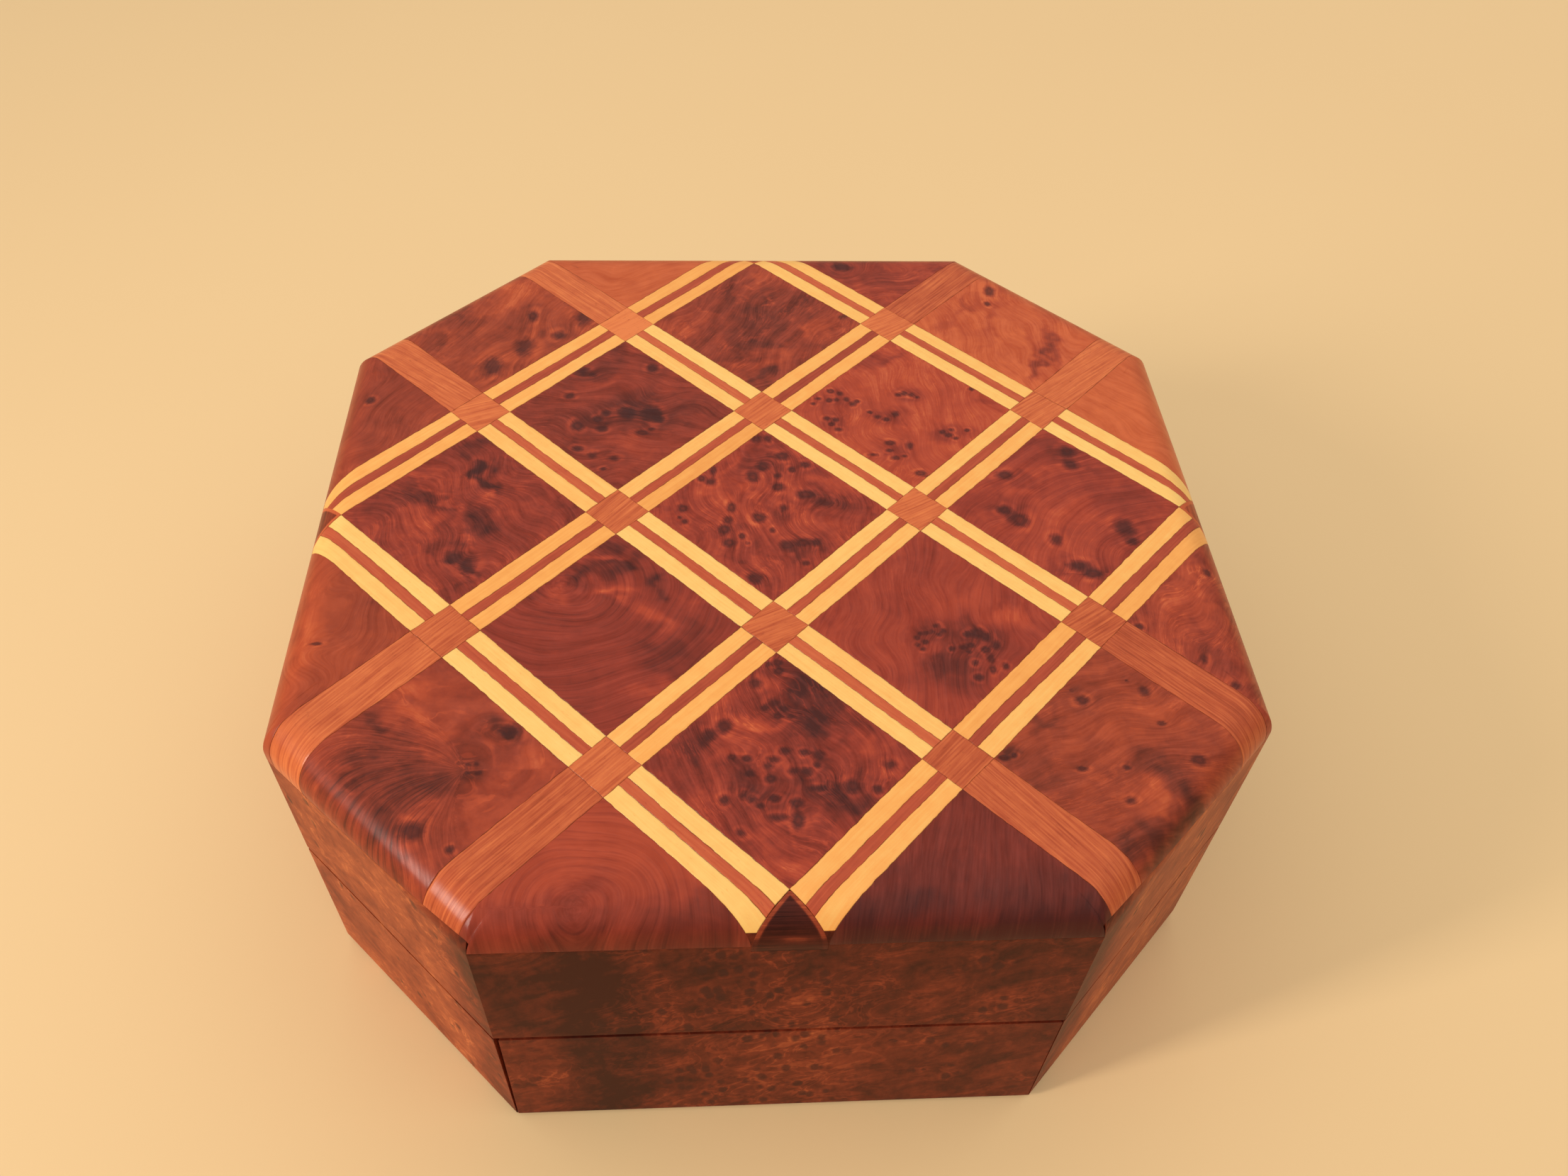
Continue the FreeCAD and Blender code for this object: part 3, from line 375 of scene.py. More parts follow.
class Figure:
    """What one burl tile shows: its mean tone, how brown it is, the contrast of its slow changes,
    how much it is mottled, its grain, its dark and light clouds (x, y, half length, half width,
    angle in degrees, tone added), its eyes (x, y, half width, half height) and the depth of its
    year lines. The grain is straight (angle in degrees, bend), in rings (x, y of the pith) or in a
    fan (x, y of its point, curl)."""

    def __init__(self, tone, brown, contrast, mottle, grain, clouds=(), eyes=(), years=0.03):
        self.tone, self.brown, self.contrast, self.mottle = tone, brown, contrast, mottle
        self.grain, self.clouds, self.years = grain, clouds, years
        self.eyes = np.array(eyes or NO_EYES, float)

    def lines(self, x, y, seed):
        """Distances across and along the grain, which slow random fields bend. A fan curls away
        from its point, to the left. The third field says where year lines show: everywhere, or
        within the fan."""
        kind, *how = self.grain
        shown = np.ones_like(x)
        if kind == "rings":
            across = np.hypot(x - how[0], (y - how[1]) * RING_SQUASH)
            along = RING_PACE * np.arctan2(y - how[1], x - how[0])
        elif kind == "fan":
            along = np.hypot(x - how[0], y - how[1])
            turn = np.arctan2(how[1] - y, how[0] - x) + how[2] * along
            across = FAN_PACE * np.clip(turn, -FAN_LIMIT, FAN_LIMIT)
            shown = np.clip((FAN_END - np.abs(turn)) / FAN_FADE, 0, 1)
        else:
            along, across = turned(x, y, math.radians(how[0]))
        bend = how[-1] if kind == "straight" else SLIGHT_BEND
        across_bend, along_bend = (bend * ripples(x, y, fields, seed) for fields in GRAIN_SWING)
        return across + across_bend, along + along_bend, shown

    def at(self, points, seed):
        """The figure, mark and blend at grid points. Tone is the mean plus bent random fields of
        three sizes plus a turned Gaussian for each cloud, less a smoky dark round each eye. The
        reach is the distance from the nearest eye, in units of that eye's size, with a soft least
        that lets close eyes run together. The grain goes round an eye as contour lines go round a
        hill."""
        x, y = points[..., 0], points[..., 1]
        across, along, shown = self.lines(x, y, seed)
        bent_x, bent_y = x + ripples(x, y, BEND_X, seed), y + ripples(x, y, BEND_Y, seed)
        tone = self.tone + self.contrast * ripples(bent_x, bent_y, TONE_SWING, seed)
        for cx, cy, length, width, angle, amount in self.clouds:
            along_it, across_it = turned(bent_x - cx, bent_y - cy, math.radians(angle))
            tone += amount * np.exp(-(along_it / length) ** 2 - (across_it / width) ** 2)
        off_x = (x[..., None] - self.eyes[:, 0]) / self.eyes[:, 2]
        off_y = (y[..., None] - self.eyes[:, 1]) / self.eyes[:, 3]
        weak = np.random.default_rng(seed).uniform(0, EYE_RANGE, len(self.eyes))
        far = off_x ** 2 + off_y ** 2 + weak
        across = across + HILL * (self.eyes[:, 2] * np.exp(-far / HILL_REACH)).sum(-1)
        least = -np.log(np.exp(-EYE_MERGE * far).sum(-1) + TINY) / EYE_MERGE
        reach = np.sqrt(np.maximum(least, 0))
        tone -= SMOKE * np.minimum(np.exp(-far / SMOKE_REACH).sum(-1), SMOKE_LIMIT)
        same = np.ones_like(x)
        return (np.stack([across, along, tone], -1), np.stack([reach, 0 * same, 0 * same], -1),
                np.stack([self.brown * same, self.mottle * same, self.years * shown], -1))


SQUARES = {
    (0, 0): Figure(0.45, 0.1, 0.08, 0.8, ("straight", -55, 0.9),
        [(-46, 16, 2, 1.6, 0, -0.25), (-45.5, 9.5, 4.5, 1.3, -58, -0.5),
         (-42.8, 6, 2.2, 1, -75, -0.35), (-53.5, 3.2, 5, 1.8, -28, -0.38),
         (-44, -2, 3, 2.2, -50, -0.3), (-52.5, 5.5, 4, 0.5, -40, 0.3),
         (-47.8, 0, 3.5, 0.45, -62, 0.32), (-45.4, -5.5, 3, 0.4, -78, 0.25),
         (-53, -2, 3, 3, 0, 0.18), (-52, 8, 3, 2.5, -30, 0.12), (-43.3, 3.5, 2, 0.7, -65, 0.3),
         (-38.5, -10, 2.5, 1.5, -30, 0.2), (-52, -11, 4, 2.5, -40, 0.12),
         (-46.6, -9.4, 2.4, 1.5, -20, -0.3), (-44.6, -11.6, 1.4, 1.2, 0, -0.3)],
        [(-47, -9.2, 1.6, 1.1), (-44.9, -10.8, 1.2, 1.7), (-45.6, 9.6, 1, 1.6)]),
    (0, 1): Figure(0.43, 0.2, 0.06, 0.5, ("straight", -12, 0.8),
        [(-25.5, 36, 3.5, 2.5, 80, -0.2), (-21, 26.5, 2.5, 2.5, 0, -0.2),
         (-19, 22.5, 5, 2.5, -20, -0.2), (-12, 23, 5, 4, 0, -0.1), (-35, 21, 4, 4, 0, -0.1),
         (-24, 23, 6, 3, 0, -0.12), (-28, 30, 5, 1.6, 20, 0.16), (-20, 15, 4, 3, 70, 0.14),
         (-15, 29, 3, 2, -40, 0.1), (-24.5, 17, 3, 1.5, 0, 0.1), (-30, 33, 3, 1.6, -20, -0.14)],
        [(-30.4, 33.6, 1.2, 1), (-28.8, 32.8, 0.8, 0.6), (-18.5, 34.4, 0.9, 1.1),
         (-32.2, 27.2, 0.8, 0.8), (-22.6, 22.8, 1.3, 1.2), (-26, 22.8, 0.75, 0.7),
         (-27.3, 21.3, 0.8, 0.7), (-26.6, 19.1, 0.85, 0.75), (-30.5, 19.8, 0.9, 1.2),
         (-18.6, 22.6, 1.4, 1.6), (-17.4, 21.3, 0.9, 0.7), (-19.8, 18, 1.2, 0.6),
         (-18.4, 18.9, 0.5, 0.4), (-30.2, 14.2, 0.8, 0.6), (-27.7, 12.7, 0.8, 0.8),
         (-24.4, 12, 0.9, 0.6), (-25.9, 9.5, 0.5, 0.4)]),
    (0, 2): Figure(0.46, 0.4, 0.07, 0.9, ("straight", 62, 0.7),
        [(0, 48, 9, 8, 0, -0.16), (1, 41, 8, 2.5, 0, -0.14), (8, 53, 3, 3.5, -30, -0.14),
         (-6, 57, 4, 2, 45, -0.1), (-14, 46, 5, 4, 60, 0.22), (13, 48, 5, 3.5, 50, 0.2),
         (0, 36.5, 6, 1.8, 10, 0.2), (4, 38, 5, 1.2, 20, 0.1), (1, 62, 3, 2.5, 45, 0.16),
         (8, 43.5, 2.5, 0.8, 60, 0.3), (10.5, 45.5, 1.2, 2, 0, 0.16),
         (1.5, 53, 2.2, 0.35, 62, 0.3), (-0.5, 58, 1.5, 0.4, 35, 0.25),
         (-4, 58.5, 2.5, 0.4, 35, 0.22), (-3, 54.5, 1.6, 0.3, 70, 0.22),
         (5.8, 47.5, 2, 0.4, 65, 0.25), (0.8, 44.5, 2.5, 0.35, 62, 0.22),
         (-1, 41.5, 2, 0.35, 60, 0.2), (-7.3, 39.5, 2, 0.5, 75, 0.2),
         (-8.5, 49.5, 2, 0.4, -45, 0.2), (15.5, 48, 2.5, 0.6, 80, -0.25),
         (1.2, 32.6, 2.4, 1.6, 0, -0.3), (-12, 47.2, 0.9, 1.3, 0, -0.3)]),
    (1, 0): Figure(0.44, 0.05, 0.03, 0.35, ("rings", -31, -15),
        [(-23.3, -7.5, 2.4, 1.4, 0, -0.35), (-25, -12, 4, 1.5, 15, -0.25),
         (-21.5, -11, 2, 1.2, 0, -0.3), (-17.2, -14.9, 1.8, 1.6, 0, -0.45),
         (-28.5, -12.5, 2, 1.2, 20, -0.2), (-14.5, -28.5, 4, 3.5, 60, -0.22),
         (-11, -23, 3, 2, -45, -0.12), (-20, -26.5, 4, 2, 10, -0.08),
         (-22.5, -18.5, 3, 1.2, -20, -0.12), (-23.8, -16, 2.6, 1.2, 5, 0.45),
         (-21.5, -16.5, 1, 0.5, 0, 0.15), (-19, -20, 3, 1.8, -45, 0.22),
         (-16.5, -22.5, 3, 1.5, -50, 0.2), (-12.5, -19, 2.5, 2, -45, 0.15),
         (-25, -9.7, 3, 0.7, -5, 0.28), (-31.5, -16.5, 2.2, 1.6, 60, 0.22),
         (-17, -33.5, 4, 1.5, 25, 0.2), (-18, -9, 2, 1.2, -45, 0.12)], years=0.09),
    (1, 1): Figure(0.58, 0.05, 0.09, 0.9, ("straight", 105, 0.9),
        [(9.5, 2, 4, 2, -15, -0.3), (-2, -13.5, 3, 3, 0, -0.22), (4, -8.5, 4, 2, -25, -0.25),
         (10, -4, 4, 2.5, -35, 0.16), (9, 6.5, 4, 1.6, -10, 0.16), (-9, 3, 4, 4, 0, 0.08),
         (0, 10, 4, 2.5, -20, -0.16), (-12, 9, 3, 2, 45, -0.12), (13, 1, 3, 4, 40, -0.12),
         (-2, -10, 5, 1.2, 0, -0.1), (-6, 10, 3, 0.5, 75, 0.2), (-3, 4, 4, 0.5, -60, 0.2),
         (1, -9, 3, 0.5, -60, 0.16), (5, -1, 4, 1.2, -30, 0.12)],
        [(-1.3, 16.3, 0.9, 1), (0.6, 16.4, 0.7, 0.8), (2.6, 12.3, 1.6, 0.9), (4.2, 9, 0.6, 0.6),
         (1.8, 7.7, 0.6, 0.6), (6.3, 10.2, 1, 0.7), (-0.5, 9.8, 1.1, 1), (-2.2, 7.6, 0.9, 1.3),
         (-8.4, 9, 0.5, 0.9), (-8.8, 6.4, 0.8, 0.8), (-10.3, 7.2, 0.6, 0.6), (1.7, 5.1, 1, 0.9),
         (-13.2, 0.5, 0.8, 0.9), (-13.7, -1.4, 0.4, 0.4), (-12.9, -2.3, 0.5, 0.5),
         (-5.7, 0.7, 0.7, 1.1), (-6.3, -2, 0.7, 0.8), (-6.9, -4, 0.9, 0.9),
         (-4.2, -5.5, 0.5, 0.6), (-6.2, -6.8, 0.9, 0.8), (-3.4, -7, 0.35, 0.4),
         (-1.5, -1.6, 1, 1), (2.5, 0.4, 0.8, 0.8), (6, 3.4, 1.4, 0.9), (9.2, 1.4, 1.8, 1),
         (2.6, -7.6, 1.1, 1.1), (4.9, -7, 1.2, 0.9), (7.1, -7, 0.8, 0.7), (0.5, -4.3, 0.5, 0.6),
         (5.2, -11.2, 0.7, 0.5), (-2.5, -14.1, 1.2, 1)]),
    (1, 2): Figure(0.75, 0.1, 0.04, 0.5, ("straight", 98, 0.8),
        [(22, 37, 5, 1.3, 12, -0.25), (19, 35.5, 4, 1, 18, -0.12),
         (24.5, 40, 1.5, 0.8, 0, -0.15), (12.5, 25.8, 4, 2.5, -10, -0.1),
         (12, 21, 2.5, 2.8, 0, -0.24), (24.8, 27.2, 2.3, 1.3, 0, -0.2),
         (21.5, 22, 3.5, 1.6, 20, -0.22), (31, 17.4, 3.5, 1.4, 5, -0.22),
         (21.8, 13.4, 2.2, 2.5, 0, -0.2), (37.5, 25, 3, 1.5, 0, -0.14), (26, 33, 6, 3, 80, 0.06),
         (9, 23.5, 2, 1, 0, -0.1), (25, 19, 5, 1, 0, 0.05)],
        [(11.7, 28.2, 0.6, 0.5), (13.2, 27.6, 0.6, 0.6), (9.5, 26.3, 0.6, 0.4),
         (11.3, 25.9, 0.5, 0.5), (12.6, 26, 0.5, 0.5), (14.3, 26, 0.6, 0.6),
         (15.2, 24.9, 0.5, 0.6), (16, 25.6, 0.5, 0.4), (8.6, 25, 0.5, 0.4),
         (10.6, 21.3, 0.6, 0.5), (12.1, 21, 0.6, 0.6), (11.3, 19.8, 0.5, 0.5),
         (12.3, 18.5, 0.7, 0.5), (23.2, 27.2, 0.6, 0.5), (24.3, 27.6, 0.5, 0.6),
         (25.5, 27.2, 0.6, 0.6), (26.4, 26.6, 0.5, 0.4), (22.3, 22.3, 0.7, 0.8),
         (19.2, 21.6, 0.7, 0.5), (18, 22.8, 0.5, 0.4), (20.6, 21, 0.6, 0.5),
         (29.6, 17.8, 0.5, 0.5), (31.2, 18.3, 0.5, 0.4), (30.6, 17, 0.6, 0.5),
         (33.8, 18.2, 0.5, 0.4), (31.6, 16.2, 0.5, 0.4), (20.6, 15.2, 0.9, 0.6),
         (23.8, 14.5, 0.6, 0.9), (20.4, 13.4, 0.6, 0.4), (21.2, 11.6, 0.8, 0.5),
         (22.6, 12, 0.5, 0.4), (17.5, 12.4, 0.8, 0.4), (24.8, 8, 1, 0.6), (26, 7.2, 0.5, 0.4),
         (36, 28.6, 0.5, 0.5)]),
    (2, 0): Figure(0.47, 0.05, 0.07, 1, ("straight", -62, 0.8),
        [(4, -33.5, 3, 2, -30, -0.38), (5, -38.5, 4, 3.5, 0, -0.32),
         (5, -41.5, 3.5, 1.5, -10, -0.26), (9, -40.5, 4, 2.5, -45, -0.18),
         (-12, -45, 3, 1.8, -20, -0.22), (6, -51.5, 4, 2, -20, -0.26),
         (8, -54, 3, 2.5, 60, -0.22), (-10.5, -42.5, 2, 2, 0, -0.12), (-5, -50, 6, 2, -15, -0.1),
         (-2.5, -40.5, 4, 1, 25, 0.3), (-7.5, -44.5, 3, 1.2, 15, 0.2),
         (-1.8, -35, 2.5, 1, 40, 0.16), (11, -44.5, 4, 2, -50, 0.22),
         (15, -48.6, 2, 1.2, 20, 0.2), (1, -62, 3, 2.2, 0, 0.24), (-3, -59.5, 2, 0.8, -60, 0.24),
         (-2.5, -57, 4, 0.8, 10, 0.14), (-8, -36, 3, 1.2, 45, 0.12),
         (4.5, -56, 2.5, 0.4, -70, 0.2), (7, -52.4, 1.8, 0.3, -65, 0.2),
         (0.4, -58, 2, 0.3, -65, 0.2)],
        [(0.1, -30, 0.8, 0.6), (-1.2, -30.2, 0.5, 0.5), (0.2, -31.5, 0.7, 0.6),
         (-3.2, -33.6, 1, 0.9), (-0.6, -37, 1, 0.9), (0.6, -38, 0.7, 0.6),
         (-2.1, -37.8, 0.5, 0.5), (-0.3, -39.2, 0.6, 0.4), (1.4, -39.3, 0.6, 0.5),
         (-9.7, -42.1, 0.9, 0.9), (-7.6, -40.7, 1, 1), (-6.7, -45.7, 0.6, 0.5),
         (-4.7, -46, 0.6, 0.5), (-1.2, -46.2, 0.8, 0.6), (-2, -47.2, 0.7, 0.6),
         (-4.4, -48.2, 0.6, 0.5), (0.4, -44.8, 0.7, 0.6), (2.9, -45.2, 0.6, 0.5),
         (4.9, -45.8, 0.7, 0.8), (4.6, -47.2, 0.5, 0.5), (1.4, -48, 0.7, 0.6),
         (3, -48.2, 0.8, 0.6), (-1.7, -49.2, 0.7, 0.6), (-7.8, -52.2, 0.7, 0.7),
         (-5.3, -51.6, 0.6, 0.6), (-4.2, -52.3, 0.6, 0.5), (-1.3, -52.2, 0.7, 0.5),
         (-3.2, -53.2, 0.6, 0.4), (1.6, -53, 0.8, 0.7), (1.6, -55.5, 0.7, 1.3),
         (9, -50.6, 1.2, 0.9), (12.3, -51.2, 0.8, 0.6), (14.2, -47.4, 0.9, 0.7),
         (4, -50.8, 1.2, 0.5), (-1.2, -55, 1.2, 0.6), (-5.8, -57.2, 0.8, 0.6)]),
    (2, 1): Figure(0.57, 0.05, 0.03, 0.3, ("straight", 84, 0.9),
        [(29, -19, 4, 3, 80, 0.1), (34.5, -22.5, 2.5, 2.2, 0, 0.22), (20, -6, 3, 2, 60, 0.08),
         (31, -32.5, 1.5, 1.5, 0, 0.12), (22, -11.5, 3, 3, 70, -0.12),
         (16.5, -21, 4, 1.5, 85, -0.08), (26, -25, 5, 2, 0, -0.18), (24, -31, 4, 2.5, 15, -0.34),
         (25.5, -35, 3, 2.5, 0, -0.25), (35, -19.5, 2, 1.5, 40, -0.16),
         (30, -26, 3, 2.5, -30, -0.2), (37, -26, 3, 2, -30, -0.08)],
        [(23.3, -23.7, 0.55, 0.5), (24.2, -24.7, 0.5, 0.45), (22.6, -24.8, 0.45, 0.45),
         (23.5, -25.3, 0.5, 0.45), (21.7, -25.1, 0.45, 0.45), (20.9, -25.1, 0.5, 0.4),
         (20.3, -25.9, 0.5, 0.45), (21.4, -26.7, 0.5, 0.45), (20.3, -27.2, 0.45, 0.45),
         (20.9, -28, 0.5, 0.4), (25.1, -28, 0.45, 0.45), (27.7, -25.4, 0.55, 0.5),
         (29.2, -25.2, 0.9, 0.8), (30.2, -26, 0.8, 0.7), (31.5, -27.6, 0.6, 0.8),
         (29.9, -28.2, 0.55, 0.55), (26.8, -27.8, 0.7, 0.55), (27.9, -27.4, 0.5, 0.45),
         (27.4, -28.6, 0.4, 0.35), (30.4, -30, 0.6, 1), (30.4, -31.8, 0.5, 0.7),
         (28.1, -30.6, 0.5, 0.5), (28.3, -33.2, 0.7, 0.55), (32.3, -31.3, 0.5, 0.6)], years=0.08),
    (2, 2): Figure(0.58, 0.05, 0.05, 0.6, ("rings", 62, -14),
        [(47, 14, 4, 3, 0, -0.12), (58, 1, 4, 4, 0, -0.15), (52, 5, 5, 3, -20, -0.12),
         (46, -1.5, 6, 3, 15, 0.18), (40, 4, 3, 1.5, 0, 0.14), (45, 8, 4, 1.5, -10, 0.1),
         (43.5, -10, 5, 1.2, 10, 0.14), (56, 5.5, 2, 1.5, 30, 0.12), (37, 0, 3, 2, -40, -0.22),
         (49.5, 11.5, 3, 1.8, 90, -0.15), (55.5, -5.5, 2.5, 2.5, 0, -0.2),
         (47, -13, 3, 2, -20, -0.22), (51.5, 8.5, 2, 1.2, 0, -0.15), (41, 6, 3, 1.5, -25, -0.12)],
        [(49.6, 12.9, 1.1, 1.2), (49.6, 9.9, 1.2, 1.1), (38.4, 7.4, 1.3, 1),
         (39, -2.6, 1.4, 1.4), (37, -0.4, 1, 0.9), (44.1, -6.9, 1, 1.1), (55.4, -4.4, 1.5, 1.5),
         (55.9, -7.4, 1.1, 0.8), (46.6, -12.4, 1.6, 1), (48.4, -14, 1.3, 1)], years=0.05),
}
SIDE_TILES = {
    FRONT_LEFT: Figure(0.5, 0.4, 0.05, 0.85, ("fan", -41.5, -47, -0.03),
        [(-52, -46, 7, 4, -10, -0.26), (-45, -49, 5, 2.5, 20, -0.22),
         (-36.5, -40.8, 2.2, 1.5, -30, -0.5), (-54, -39, 2, 1.2, -35, -0.25),
         (-51, -54, 3, 2, -45, -0.25), (-50.5, -34, 2.5, 2, 30, 0.28),
         (-49.5, -38.5, 2.2, 1.5, -30, 0.28), (-46, -42, 1.5, 1.2, 0, 0.28),
         (-38, -55, 6, 4, 20, 0.14), (-34, -46, 4, 3, 50, 0.12),
         (-44, -51.8, 1.5, 0.7, 30, 0.25), (-48, -53.5, 1, 0.6, 30, 0.3),
         (-57, -46.5, 3, 0.6, 10, 0.2), (-56, -48.6, 2, 0.4, 20, 0.2)],
        [(-42, -58.6, 0.6, 0.55), (-47, -55.8, 1.5, 1.2), (-41.2, -46, 0.4, 0.35),
         (-40, -46, 0.4, 0.4), (-39.6, -47.3, 0.5, 0.45), (-41, -47.3, 0.4, 0.3),
         (-42.3, -45.8, 0.3, 0.3), (-36.4, -40.8, 1.6, 1)], years=0.17),
    FRONT_RIGHT: Figure(0.55, 0.6, 0.06, 0.55, ("straight", 20, 0.6),
        [(48, -59, 3.5, 2.5, 20, -0.45), (52.5, -55.5, 2.5, 1.8, 30, -0.4),
         (54, -52.5, 2.5, 1.8, -30, -0.4), (51, -48.5, 4, 1.8, -10, -0.3),
         (43, -60.5, 1.8, 1.5, 0, -0.35), (36, -40.8, 3, 1.2, 35, -0.3),
         (30, -46, 2, 1.2, 30, -0.25), (35.5, -50.5, 4, 3.5, 20, -0.16),
         (49, -53.5, 3, 2, 20, 0.25), (47, -50.5, 2, 1, 20, 0.16), (52, -39.5, 3, 2, -40, 0.15),
         (44, -43, 6, 2, 20, 0.08), (40.5, -50.5, 1.5, 0.8, 0, 0.15),
         (48, -35, 3, 1.5, 40, 0.08), (58, -49, 2.5, 2, 60, 0.12)],
        [(42, -37.5, 0.9, 0.8), (40.8, -35.7, 0.4, 0.4), (51, -36, 0.9, 0.9),
         (49, -34.2, 0.4, 0.3), (52.3, -41.6, 0.8, 0.5), (56, -47.5, 1.2, 0.7),
         (45.2, -53.7, 0.8, 0.6), (45.8, -48.6, 0.5, 0.4), (39.8, -48.6, 0.8, 0.4),
         (29.5, -46.6, 0.7, 0.5), (31, -46.3, 0.4, 0.4)]),
    BACK_RIGHT: Figure(0.88, 0.45, 0.05, 0.4, ("straight", -78, 0.9),
        [(52, 40, 5, 0.9, 82, -0.5), (48.6, 35, 5, 0.9, 75, -0.45), (34, 47, 4, 2, 80, -0.16),
         (42, 47, 4, 1.2, 80, -0.24), (56, 33, 4, 0.8, 70, -0.25), (38, 52, 3, 0.7, 60, -0.25)],
        [(43.4, 56.4, 1, 1.7), (42.4, 52.6, 0.6, 0.7)]),
    BACK_LEFT: Figure(0.6, 0.6, 0.07, 0.6, ("straight", 60, 0.9),
        [(-44, 55, 4, 4, 0, 0.18), (-53, 49, 4, 4, 0, -0.22), (-50, 42, 6, 4, 30, -0.12),
         (-40, 46, 3, 2, 40, 0.14), (-57, 40, 3, 3, 0, -0.14), (-44, 38, 4, 2, 40, 0.1),
         (-35, 43, 3, 3, 0, -0.1)],
        [(-45.8, 35, 1.8, 2.5), (-40.8, 40.3, 1.6, 2.7), (-31, 48.6, 1.6, 2.2),
         (-40, 48.8, 0.9, 1.5), (-35, 43.4, 1.2, 1.2)]),
}
# The two front corner tiles carry a long dark cloud along the front edge, at y = -71.5: painted
# shade on the round-over that faces forward.
CORNER_TILES = {
    (FRONT_LEFT, 1): Figure(0.68, 0.2, 0.03, 0.2, ("rings", -26, -66.5),
        [(-26, -66.5, 5, 3, 0, -0.1), (-32, -58, 6, 3, 20, -0.06),
         # The long cloud at y = -71.5 is painted shade.
         (-25, -71.5, 40, 5, 0, -0.42), (-10, -67, 9, 4, 20, -0.16)], years=0.08),
    (FRONT_LEFT, -1): Figure(0.6, 0.6, 0.04, 0.3, ("straight", 80, 1.5),
        [(-57, -17, 6, 4, 60, -0.16), (-66, -24, 9, 2.5, 85, 0.22)],
        [(-64.4, -25.4, 0.9, 0.3)]),
    (FRONT_RIGHT, -1): Figure(0.28, 0, 0.03, 0.1, ("straight", 78, 0.3),
        # The long cloud at y = -71.5 is painted shade.
        [(20, -55, 8, 3, 10, 0.06), (22, -71.5, 40, 5.2, 0, -0.34)], years=0.04),
    (FRONT_RIGHT, 1): Figure(0.6, 0.3, 0.08, 0.9, ("straight", 55, 1),
        [(63, -20, 5, 3, 60, 0.1), (60, -28, 4, 3, 50, -0.12)],
        [(66, -13.8, 0.8, 0.9), (53, -24.4, 0.7, 0.6), (64.4, -35.4, 0.9, 0.9),
         (61, -30.4, 0.6, 0.8)]),
    (BACK_RIGHT, -1): Figure(0.92, 0.75, 0.03, 0.25, ("straight", -45, 1),
        [(64, 20, 8, 4, 80, 0.05)]),
    (BACK_RIGHT, 1): Figure(0.56, 0.15, 0.07, 0.8, ("straight", 10, 1.5),
        [(16, 64, 4, 3, 0, -0.22), (25, 60, 4, 2, 20, -0.14), (20, 58, 3, 2, 0, 0.12)],
        [(16.4, 64, 1.6, 1.2)]),
    (BACK_LEFT, -1): Figure(0.88, 0.75, 0.02, 0.2, ("straight", 15, 1),
        [(-20, 61, 6, 2, 10, 0.05)]),
    (BACK_LEFT, 1): Figure(0.5, 0.45, 0.04, 0.4, ("straight", 60, 1.5),
        [(-64, 25, 5, 3, 80, -0.06), (-66, 12, 4, 2, 80, 0.1)],
        [(-65, 26.4, 0.8, 0.7)]),
}

# The plain pieces: tones, and how far each strays from its mean direction, in radians
BAND_STRAY, BAND_TONES = 0.12, (0.35, 0.65)
# The strips' two mean tones, one for each direction, differ by a painted sheen.
LEAN_RIGHT, LEAN_LEFT, STRIP_SWING = 0.36, 0.66, 0.1  # mean tones of the strips, and their spread
CROSSING_TURN, CROSSING_STRAY = math.radians(35), 0.25
# The crossings' tone rises towards the back: painted light.
CROSSING_TONES, CROSSING_PAINTED_LIGHT_RISE = (0.52, 0.82), 0.0039  # and the rise to the back, per millimetre
END_TONES = {FRONT: 0.12, RIGHT: 0.8, BACK: 0.6, LEFT: 0.6}
STREAK_TONE, STREAK_X, STREAK_DEPTH = 0.45, 0.9, 4.4  # a half square's pale streak
STREAK_HALF, STREAK_TALL = 2.4, 0.6
EDGE_TONE, EDGE_WIDTH, EDGE_SOFT = 0.6, 0.6, 0.2  # its pale edge
EDGE_END, EDGE_FADE, EDGE_LEAST = 5.5, 2, 0.3  # and how that darkens with depth

# Columns and rows of each kind of piece, and first seeds
TILE_GRID, CORNER_GRID, BAND_GRID = (86, 86), (86, 80), (12, 40)
STRIP_GRID, CROSSING_GRID, END_GRID = (6, 120), (16, 16), (40, 40)
SQUARE_SEED, SIDE_SEED, CORNER_SEED, SEED_STEP = 100, 300, 400, 10
BAND_SEED, STRIP_SEED, CROSSING_SEED, END_SEED, PIECE_SEED = 500, 600, 700, 800, 5


def straight_grain(points, turn, tone, seed):
    """The three vectors of a plain piece: distances across and along a direction, offset so that no
    two pieces share their lines, and the piece's own tone, with no eyes."""
    offset = np.random.default_rng(seed).uniform(-GRAIN_OFFSET, GRAIN_OFFSET, 2)
    along, across = turned(points[..., 0], points[..., 1], turn)
    figure = np.stack([across + offset[0], along + offset[1], tone + 0 * across], -1)
    return figure, 0 * figure + (NO_EYE_REACH, 0, 0), 0 * figure


def lay_tiles(burl):
    """The burl tiles: nine squares, and the tiles of the border."""
    squares, sides, corners = Inlay(), Inlay(), Inlay()
    for (i, j), figure in SQUARES.items():
        grid = lattice_grid(GAPS[i], GAPS[j], *TILE_GRID)
        squares.add_tile(grid, figure, SQUARE_SEED + SEED_STEP * (len(GAPS) * i + j))
    for place, (side, figure) in enumerate(SIDE_TILES.items()):
        grid = border_grid(side, GAPS[1], *TILE_GRID)
        sides.add_tile(grid, figure, SIDE_SEED + SEED_STEP * place)
    for place, ((side, hand), figure) in enumerate(CORNER_TILES.items()):
        grid = border_grid(side, [hand * end for end in GAPS[2]], *CORNER_GRID)
        corners.add_tile(grid, figure, CORNER_SEED + SEED_STEP * place)
    nodes = "burl_squares", "burl_side_tiles", "burl_corner_tiles"
    for tiles, node in zip((squares, sides, corners), nodes):
        tiles.lay(node, "figured", "thuya_burl", burl)


